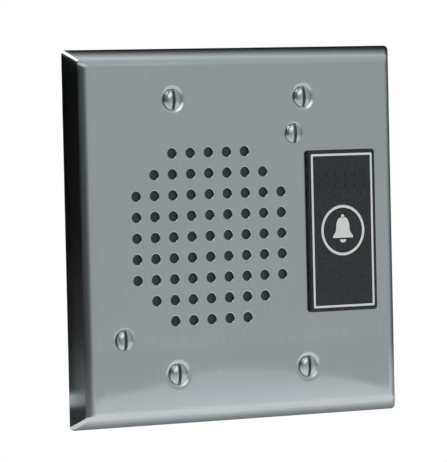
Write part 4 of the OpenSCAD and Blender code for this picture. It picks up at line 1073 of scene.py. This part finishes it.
ripple_in, ripple_out, spider_out = SPIDER_IN + SPIDER_FLAT, CUP_IN_R - CUP_GAP, SHELF_R - SHELF_GAP
ripple_rise = (extent("spider")[1] - SPIDER_T) / 2
ripple_r = np.linspace(ripple_in, ripple_out, RIPPLE_STEPS + 1)
ripple_turn = np.linspace(0, 2 * np.pi * RIPPLES, RIPPLE_STEPS + 1)
ripple_y = SHELF_Y - SPIDER_T / 2 - ripple_rise * (1 - np.cos(ripple_turn))
ripple_line = np.vstack([[(SPIDER_IN, ripple_y[0])], np.stack([ripple_r, ripple_y], -1),
                         [(spider_out, ripple_y[0])]])
spider = speaker_piece("spider_disc", thick_line(ripple_line, SPIDER_T), spider_weave, None,
                       "spider", 60)
radial_blend(spider)

# %% [markdown]
# The coil is wound on a paper former and hangs in the gap between the pole and the top plate. Its
# outside dips between the turns of the wire, which a rectified sine wave along Y gives.

# %% Coil

FORMER_T, FORMER_SOFT = 0.15, 0.03
WIRE, WIRE_STEPS, WIRE_DIP, WIRE_GLUE = 0.15, 4, 0.06, 0.025


def ring_line(r_in, r_out, front, back, soft):
    """Closed section of a ring, with its four edges broken."""
    middle = (r_in + r_out) / 2
    return soft_profile([(middle, front), (r_out, front), (r_out, back), (r_in, back), (r_in, front),
                         (middle, front)], soft, steps=4)


former_r, coil_r = extent("coil_former")[0] / 2, extent("voice_coil")[0] / 2
former_line = ring_line(former_r - FORMER_T, former_r, *depths("coil_former"), FORMER_SOFT)
speaker_piece("former_tube", former_line, kraft_tube, "diaphragm", "coil_former")
coil_y, coil_back = depths("voice_coil")
wire_y = np.linspace(coil_y, coil_back, int((coil_back - coil_y) / WIRE) * WIRE_STEPS + 1)
wire_r = coil_r - WIRE_DIP * (1 - np.abs(np.sin(np.pi * (wire_y - coil_y) / WIRE)))
bed_r = former_r + WIRE_GLUE
coil_line = closed_line(np.stack([wire_r, wire_y], -1), [(bed_r, coil_back), (bed_r, coil_y)])
speaker_piece("coil_winding", coil_line, enamelled_wire, "diaphragm", "voice_coil", 70)

# %% [markdown]
# The ring magnet is clamped between the top plate and the yoke, whose pole has a vent through it.
# All are turned profiles with the small edge breaks that pressed steel and ground ferrite have.

# %% Magnet

GAP_R, TOP_R, MAGNET_IN, POLE_R, VENT_R = 7.25, 16.0, 9.5, 6.2, 1.8
TOP_SOFT, MAGNET_SOFT, YOKE_SOFT = 0.25, 0.7, [0.3, 0.4, 0.2, 0.8, 0.4, 0.3]

magnet_y, magnet_back = depths("magnet_ring")
top_line = ring_line(GAP_R, TOP_R, depths("top_plate")[0], magnet_y, TOP_SOFT)
speaker_piece("top_plate_ring", top_line, motor_steel, "plate", "top_plate")
magnet_line = ring_line(MAGNET_IN, extent("magnet_ring")[0] / 2, magnet_y, magnet_back, MAGNET_SOFT)
speaker_piece("magnet_block", magnet_line, ferrite, "plate", "magnet_ring", steps=FINE)
pole_y, yoke_back = depths("pole_yoke")
yoke_r, pole_mid = extent("pole_yoke")[0] / 2, (VENT_R + POLE_R) / 2
yoke_line = soft_profile([(pole_mid, pole_y), (POLE_R, pole_y), (POLE_R, magnet_back),
                          (yoke_r, magnet_back), (yoke_r, yoke_back), (VENT_R, yoke_back),
                          (VENT_R, pole_y), (pole_mid, pole_y)], YOKE_SOFT)
speaker_piece("yoke_and_pole", yoke_line, motor_steel, "plate", "pole_yoke", steps=FINE)

# %% [markdown]
# Two short braided leads carry the signal from the lugs to the moving cone. Each is a tube along a cubic
# curve that leaves the lug and meets the cone square, with slack for the travel.

# %% Leads

LUG_X, LEAD_DRAW, LEAD_RISE, LEAD_DROP = 6.5, 1.7, 4.2, 3.6
LEAD_R, LEAD_GLUE, LEAD_STEPS = 0.35, 0.05, 40


def tube_shape(path, radius, sides=12):
    """Round tube along a path: point + r (cos a u + sin a v), u square to the run, v square to both,
    with both ends drawn together."""
    run = np.gradient(path, axis=0)
    run /= np.linalg.norm(run, axis=1, keepdims=True)
    u = np.array([1.0, 0, 0]) - run[:, :1] * run
    u /= np.linalg.norm(u, axis=1, keepdims=True)
    v = np.cross(run, u)
    angle = np.arange(sides) * 2 * np.pi / sides
    ring = np.cos(angle)[:, None] * u[:, None] + np.sin(angle)[:, None] * v[:, None]
    tube = path[:, None] + radius * ring
    ends = [np.repeat(path[end][None, None], sides, 1) for end in (0, -1)]
    tube = np.concatenate([ends[0], tube, ends[1]])
    return tube.reshape(-1, 3), [grid_faces(len(tube), sides, wrap_cols=True)]


def cubic(a, b, c, d):
    """Cubic curve from a to d: (1-t)^3 a + 3t(1-t)^2 b + 3t^2(1-t) c + t^3 d."""
    t = np.linspace(0, 1, LEAD_STEPS + 1)[:, None]
    return (1 - t) ** 3 * a + 3 * t * (1 - t) ** 2 * b + 3 * t**2 * (1 - t) * c + t**3 * d


lug_y = depths("solder_lugs")[0]
lead_end_r, lead_end_x = (NECK_R + BOND_R) / 2, LUG_X - LEAD_DRAW
lead_end_y = cone_y(lead_end_r) + CONE_T + LEAD_GLUE
leads = []
for side in (-1, 1):
    lug = np.array([speaker_axis[0] + side * LUG_X, lug_y, strip_axis[1]])
    bond = np.array([speaker_axis[0] + side * lead_end_x, lead_end_y,
                     speaker_axis[1] - math.sqrt(lead_end_r**2 - lead_end_x**2)])
    leads.append(tube_shape(cubic(lug, lug - [0, LEAD_RISE, 0], bond + [0, LEAD_DROP, 0], bond), LEAD_R))
lead_piece = mesh_piece("tinsel_lead_braids", together(leads), tinsel_braid, None,
                        ["tinsel_leads"])
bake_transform(lead_piece)

# %% [markdown]
# ## Small parts behind the plate
# Nuts, washers, lugs, the switch, its board and the terminal block have the right shape in CAD,
# but their edges are knife-sharp. A merged copy with its flat areas joined, finished by a small
# Bevel, catches the light as a punched or moulded edge does.

# %% Softened copies

WELD_DIST, FLAT_ANGLE, SHARP_ANGLE = 1e-6, math.radians(0.5), math.radians(30)
BEVEL_SEGMENTS = 2


def softened(node, finish, width, body="plate"):
    """Copy of a CAD node with rounded edges."""
    work = bmesh.new()
    work.from_mesh(NODES[node].data)
    bmesh.ops.remove_doubles(work, verts=work.verts, dist=WELD_DIST)
    bmesh.ops.dissolve_limit(work, angle_limit=FLAT_ANGLE, verts=work.verts, edges=work.edges)
    mesh = bpy.data.meshes.new(node + "_soft")
    work.to_mesh(mesh)
    work.free()
    mesh.materials.append(finish)
    mesh.polygons.foreach_set("use_smooth", np.ones(len(mesh.polygons), bool))
    mesh.set_sharp_from_angle(angle=SHARP_ANGLE)
    edge = add_part(node + "_soft", mesh, body, [node]).modifiers.new("edge", "BEVEL")
    edge.width, edge.segments, edge.angle_limit = width * MM, BEVEL_SEGMENTS, SHARP_ANGLE


board_green = grained("solder_resist", (0.016, 0.12, 0.040), (0.028, 0.19, 0.070), (0.22, 0.34),
                      (0.9, 0.9, 2.54), 0.03)
SMALL_PARTS = [
    ("lock_washers", zinc_steel, "zinc_steel", 0.08), ("speaker_nuts", zinc_steel, "zinc_steel", 0.15),
    ("terminal_strip", phenolic, "phenolic", 0.1), ("strip_rivet", zinc_steel, "zinc_steel", 0.2),
    ("solder_lugs", tinned_brass, "tinned_brass", 0.08), ("bezel_seal", seal_rubber, "seal_rubber", 0.06),
    ("switch_body", black_plastic, "black_plastic", 0.1),
    ("switch_pins", tinned_brass, "tinned_brass", 0.06),
    ("switch_board", board_green, "board_green", 0.08), ("board_screws", zinc_steel, "zinc_steel", 0.1),
    ("bezel_clamps", zinc_steel, "zinc_steel", 0.15), ("clamp_screws", zinc_steel, "zinc_steel", 0.1),
    ("terminal_block", green_plastic, "green_plastic", 0.15), ("terminal_cages", brass, "brass", 0.1),
    ("terminal_screws", zinc_steel, "zinc_steel", 0.1),
]
for node, finish, slot, width in SMALL_PARTS:
    softened(node, finish, width)
softened("switch_plunger", pale_plastic, 0.08, "button")

# %% [markdown]
# Under the plunger lies the snap dome that makes the click. It is a thin cap that flattens as the button
# goes in.

# %% Snap dome

DOME_T, DOME_KEEP, DOME_STEPS, DOME_SIDES = 0.1, 0.4, 12, 64

dome_top, dome_rim = depths("contact_dome")
dome_w, dome_h, _ = extent("contact_dome")
dome_sphere = ((dome_w / 2) ** 2 + dome_h**2) / (2 * dome_h)
dome_swing = np.linspace(0, math.asin(dome_w / 2 / dome_sphere), DOME_STEPS + 1)
dome_arc = dome_sphere * np.stack([np.sin(dome_swing), 1 - np.cos(dome_swing)], -1) + [0, dome_top]
snap_line = np.vstack([dome_arc, dome_arc[::-1] + [0, DOME_T]])
dome = mesh_piece("snap_dome", turned_shape(snap_line, call_axis, DOME_SIDES), tinned_brass, "plate",
                  ["contact_dome"], sharp=60)
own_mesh(dome)

# %% [markdown]
# ## Studio
# The background is white, and polished metal has to show that white too, so the world is at
# full white for camera, glossy and transmission rays and a little lower for soft diffuse light.

# %% World

WORLD_SOFT = 0.62


def either_ray(owner, *names):
    """Field of a world or material that is 1 for each of the named kinds of ray."""
    rays = add_node(owner, "ShaderNodeLightPath").outputs
    found = rays[names[0]]
    for name in names[1:]:
        found = combine(owner, "MAXIMUM", found, rays[name])
    return found


world = bpy.data.worlds.new("studio")
bpy.context.scene.world = world
world.use_nodes = True
sky = world.node_tree.nodes["Background"]
sky.inputs["Color"].default_value = (1, 1, 1, 1)
seen = either_ray(world, "Is Camera Ray", "Is Glossy Ray", "Is Transmission Ray")
wire(world, sky, "Strength", spread(world, seen, WORLD_SOFT, 1.0))
print("world at", WORLD_SOFT, "for soft light")

# %% [markdown]
# A pale floor lies well below the plate. In reflections alone it glows like lit white paper, a painted
# reflection that fades towards the front, and it is clear from below, so that a low camera still sees the
# part. Floor and boards are grids of points in metres, and a number on each point holds its glow.

# %% Floor

FLOOR_Z, FLOOR_HALF, FLOOR_STEPS = -0.16, 0.45, 45
FLOOR_GLOW, FRONT_GLOW, FADE_FROM, FADE_TO = 0.36, 0.14, -0.13, -0.27
REFLECTED_GLOW_TINT = (0.95, 1.0, 1.02, 1)


def grid_points(x, y, z):
    """Grid of points from three coordinates, each of them a grid or one number."""
    return np.stack(np.broadcast_arrays(x, y, z), -1)


def stage_grid(name, points, finish, glow):
    """Stage piece from a grid of points, with the glow of each point as an attribute."""
    rows, cols = points.shape[:2]
    mesh = bpy.data.meshes.new(name)
    mesh.from_pydata(points.reshape(-1, 3).tolist(), [], grid_faces(rows, cols).tolist())
    mesh.materials.append(finish)
    values = np.broadcast_to(glow, (rows, cols)).astype(np.float32).ravel()
    mesh.attributes.new("glow", "FLOAT", "POINT").data.foreach_set("value", values)
    sheet = bpy.data.objects.new(name, mesh)
    bpy.context.scene.collection.objects.link(sheet)
    print(name, rows, "x", cols, "points")
    return sheet


def point_glow(finish):
    """Field that reads the glow of the points."""
    return add_node(finish, "ShaderNodeAttribute", attribute_name="glow").outputs["Fac"]


floor_paint = grained("pale_floor", (0.86, 0.86, 0.86), (0.90, 0.90, 0.90), (0.8, 0.9), 40.0, 0.02)
paper = floor_paint.node_tree.nodes["Principled BSDF"]
# Glow seen by glossy rays only: a painted reflection of lit paper, weaker towards the front.
paper.inputs["Emission Color"].default_value = REFLECTED_GLOW_TINT
mirrored = either_ray(floor_paint, "Is Glossy Ray")
wire(floor_paint, paper, "Emission Strength",
     combine(floor_paint, "MULTIPLY", mirrored, point_glow(floor_paint)))
from_below = add_node(floor_paint, "ShaderNodeNewGeometry").outputs["Backfacing"]
wire(floor_paint, paper, "Alpha", combine(floor_paint, "SUBTRACT", 1.0, from_below))
floor_x, floor_y = np.meshgrid(np.linspace(-1, 1, 2), np.linspace(-1, 1, FLOOR_STEPS + 1))
floor_x, floor_y = FLOOR_HALF * floor_x, FLOOR_HALF * floor_y
floor_glow = np.interp(floor_y, [FADE_TO, FADE_FROM], [FRONT_GLOW, FLOOR_GLOW])
stage_grid("floor", grid_points(floor_x, floor_y, FLOOR_Z), floor_paint, floor_glow)

# %% [markdown]
# One small softbox stands up on the left, where the mitre of the plate's top left corner mirrors
# it as a bright streak. A wide fill lamp on the right lifts the plastics and the holes. The fill
# is kept out of reflections, because the steel would show it as a white line along its bend.

# %% Lamps


def softbox(name, spot, size, watts, mirrored=True):
    """Square area lamp that looks at the middle of the frame."""
    lamp = bpy.data.lights.new(name, "AREA")
    lamp.shape, lamp.size, lamp.energy = "SQUARE", size, watts
    box = bpy.data.objects.new(name, lamp)
    bpy.context.scene.collection.objects.link(box)
    look = (-Vector(spot)).to_track_quat("-Z", "Y")
    box.matrix_world = Matrix.LocRotScale(Vector(spot), look, None)
    box.visible_glossy = mirrored
    print(name, "at", spot, "with", watts, "W")


softbox("overhead_softbox", (-0.215, -0.03, 0.45), 0.26, 1.2)
softbox("fill_softbox", (0.5, -0.7, 0.35), 0.5, 1.6, mirrored=False)

# %% [markdown]
# Brushed steel is a picture of the room, so the room is made of boards that only reflections
# meet, like the grey and black boards that a photographer stands round shiny metal. Their paint
# is black and gives out as much light as the number on each point says.

# %% Board kit

BOARD_TINT = (0.94, 1.0, 1.03, 1)

board_paint, board_shader = new_finish("board_paint", 0.0, Specular_IOR_Level=0.0)
board_shader.inputs["Base Color"].default_value = (0, 0, 0, 1)
board_shader.inputs["Emission Color"].default_value = BOARD_TINT
wire(board_paint, board_shader, "Emission Strength", point_glow(board_paint))


def board(name, points, glow):
    """Board that only glossy rays meet."""
    piece = stage_grid(name, points, board_paint, glow)
    piece.visible_camera = piece.visible_diffuse = piece.visible_shadow = False
    piece.visible_transmission = False


def smooth(value, low, high):
    """Smooth step: 3t^2 - 2t^3 of the value's place between low and high."""
    t = np.clip((value - low) / (high - low), 0, 1)
    return t * t * (3 - 2 * t)


def toward(glow, level, share):
    """Glow brought towards a level by a share: glow + (level - glow) share."""
    return glow + (level - glow) * share


print("board kit ready")

# %% [markdown]
# The room itself is a far half dome, dark on the left, grey in front, dim on the right and pale
# above. It has two slanting bright windows: one for the screw heads and their dishes, and one on
# the left for the mitre of the top left corner. A low wall stands nearer and is pale at its foot,
# so its edge is crisper in the lower face.

# %% Room of reflections

DOME_R, DOME_LOW, DOME_HIGH = 2.4, -12, 90
WALL_R, WALL_LOW, WALL_HIGH = 0.6, -16, -5
ROOM_LEFT, ROOM_RIGHT = -125, 150
KEY_GLOW, SIDE_GLOW = 2.2, 1.5


def shell(radius, low, high):
    """Azimuths, elevations and points of a belt of a sphere, cut every degree and half degree:
    radius (sin a cos e, -cos a cos e, sin e)."""
    azimuth, elevation = np.meshgrid(np.linspace(ROOM_LEFT, ROOM_RIGHT, ROOM_RIGHT - ROOM_LEFT + 1),
                                     np.linspace(low, high, 2 * (high - low) + 1))
    turn, rise = np.radians(azimuth), np.radians(elevation)
    points = grid_points(np.sin(turn) * np.cos(rise), -np.cos(turn) * np.cos(rise), np.sin(rise))
    return azimuth, elevation, radius * points


def level_glow(azimuth):
    """Glow at eye level, joined by straight lines from left to right."""
    return np.interp(azimuth, [-125, -80, -45, -25, -12, -4, 4, 61, 79, 100, 127],
                     [0.30, 0.18, 0.12, 0.13, 0.30, 0.58, 0.632, 0.632, 0.36, 0.18, 0.07])


def window(aside, above, half_width, half_height, fade_width, fade_height):
    """Bright window, 1 inside and falling smoothly to 0 at its borders, from the degrees that a
    point lies aside of its middle and above its middle line."""
    return (smooth(half_width - np.abs(aside), 0, fade_width)
            * smooth(half_height - np.abs(above), 0, fade_height))


azimuth, elevation, dome_points = shell(DOME_R, DOME_LOW, DOME_HIGH)
upper_glow = np.interp(azimuth, [-70, -20, 10, 36, 70, 103], [0.12, 0.3, 0.5, 0.72, 0.80, 0.9])
dome_glow = toward(level_glow(azimuth), upper_glow, smooth(elevation, 1, 47))
key_window = window(azimuth - 6, elevation - 28 - 0.65 * (azimuth - 6), 16, 12, 4, 3)
side_window = window(azimuth + 28, elevation - 46 + 0.7 * (azimuth + 28), 20, 10, 8, 5)
dome_glow = toward(toward(dome_glow, KEY_GLOW, key_window), SIDE_GLOW, side_window)
board("room_dome", dome_points, dome_glow)

azimuth, elevation, wall_points = shell(WALL_R, WALL_LOW, WALL_HIGH)
foot_glow = np.interp(azimuth, [-10, 18, 28, 62, 82, 104, 150], [0.5, 0.8, 0.97, 0.97, 0.6, 0.4, 0.3])
foot_glow = foot_glow * np.interp(-elevation, [8.0, 9.6, 10.6], [1.0, 1.01, 1.11])
board("room_wall", wall_points, toward(level_glow(azimuth), foot_glow, smooth(-elevation, 7.8, 8.5)))

# %% [markdown]
# Near boards draw the crisp marks, and are laid out in millimetres. A low grey board in front of
# the face has an arched foot, under which the lower face mirrors the pale ground.

# %% Arched board

ARCH_Y, ARCH_TOP, ARCH_GLOW, ARCH_STEPS = -45, -38, 0.632, 73
ARCH_X = [-62, -33, -11, 2, 13, 20, 29, 40, 51, 62, 85]
ARCH_FOOT = [-54.5, -52.0, -49.0, -46.0, -44.4, -44.4, -45.0, -46.4, -48.2, -50.4, -55.2]

arch_x = np.linspace(ARCH_X[0], ARCH_X[-1], ARCH_STEPS + 1)
arch_z = np.stack([np.full(len(arch_x), ARCH_TOP), np.interp(arch_x, ARCH_X, ARCH_FOOT)])
board("arched_board", MM * grid_points(arch_x, ARCH_Y, arch_z), ARCH_GLOW)

# %% [markdown]
# A dark pair of flags hugs the left edge, so that it darkens only that bend and its flank. The
# front one grows paler towards the face, at its foot and above all at its top, where the corner's
# mitre sees it. A slit near the side one's foot lets a patch of light in.

# %% Flags

FLAG_X, FLAG_Y, FLAG_TOP = -75, -15, 60
FRONT_EDGE, FRONT_FOOT, FRONT_COLS, FRONT_ROWS = -47.5, -60, 56, 121
SIDE_BACK, SIDE_FOOT, SIDE_COLS, SIDE_ROWS = 14, -64, 30, 125
FOOT_LIFT, TOP_GLOW, CORNER_GLOW = 0.12, 1.1, 0.05

flag_x, flag_z = np.meshgrid(np.linspace(FLAG_X, FRONT_EDGE, FRONT_COLS),
                             np.linspace(FLAG_TOP, FRONT_FOOT, FRONT_ROWS))
flag_glow = np.interp(flag_x, [-71, -61.5, -56.5, -54.4, -52.4, -50.5, -48.3],
                      [0.06, 0.10, 0.12, 0.18, 0.27, 0.42, 0.62])
flag_glow = flag_glow + FOOT_LIFT * smooth(-flag_z, 34, 52)
flag_glow = toward(flag_glow, TOP_GLOW, smooth(flag_z, 52.5, 57))
board("front_flag", MM * grid_points(flag_x, FLAG_Y, flag_z), flag_glow)

flag_y, flag_z = np.meshgrid(np.linspace(FLAG_Y, SIDE_BACK, SIDE_COLS),
                             np.linspace(FLAG_TOP, SIDE_FOOT, SIDE_ROWS))
flag_glow = np.interp(flag_z, [-50, -44, -30, 0, 40], [0.15, 0.10, 0.03, 0.005, 0.0])
flag_glow = flag_glow * np.interp(-flag_y, [3.2, 4.8], [0.35, 1.55])
flag_glow = toward(CORNER_GLOW, flag_glow, smooth(flag_z, -53, -51))
slit = smooth(flag_z, -52.8, -51.6) * smooth(-flag_z, 47.6, 49.0)
slit_glow = np.interp(-flag_y, [2.6, 3.6, 4.4, 5.4, 7.4], [0.62, 0.56, 0.32, 0.22, 0.14])
board("side_flag", MM * grid_points(FLAG_X, flag_y, flag_z), flag_glow + slit * slit_glow)

# %% [markdown]
# Behind the rim, shaded strips along the top and the bottom darken the flanks towards the wall,
# as the wall's own shadow does on the real plate. They are paler on the left along the top, and
# on the right along the bottom.

# %% Shades behind the rim

SHADE_HALF, SHADE_NEAR, SHADE_FAR, SHADE_COLS, SHADE_ROWS = 75, -0.8, 14.5, 31, 24
SHADE_Y, SHADE_GLOW, SHADE_TILT = 0.0004, 1.06, 1.6
SHADES = [("top_shade", 1, 0.0, 0.0012, 0.0135), ("bottom_shade", -1, 0.3, 0.0, 0.0105)]

shade_x, beyond = MM * np.array(np.meshgrid(np.linspace(-SHADE_HALF, SHADE_HALF, SHADE_COLS),
                                            np.linspace(SHADE_NEAR, SHADE_FAR, SHADE_ROWS)))
for name, way, dark, near, far in SHADES:
    shade_glow = toward(dark, SHADE_GLOW - SHADE_TILT * way * shade_x, smooth(beyond, near, far))
    board(name, grid_points(shade_x, SHADE_Y, way * (PLATE_H * MM / 2 + beyond)), shade_glow)
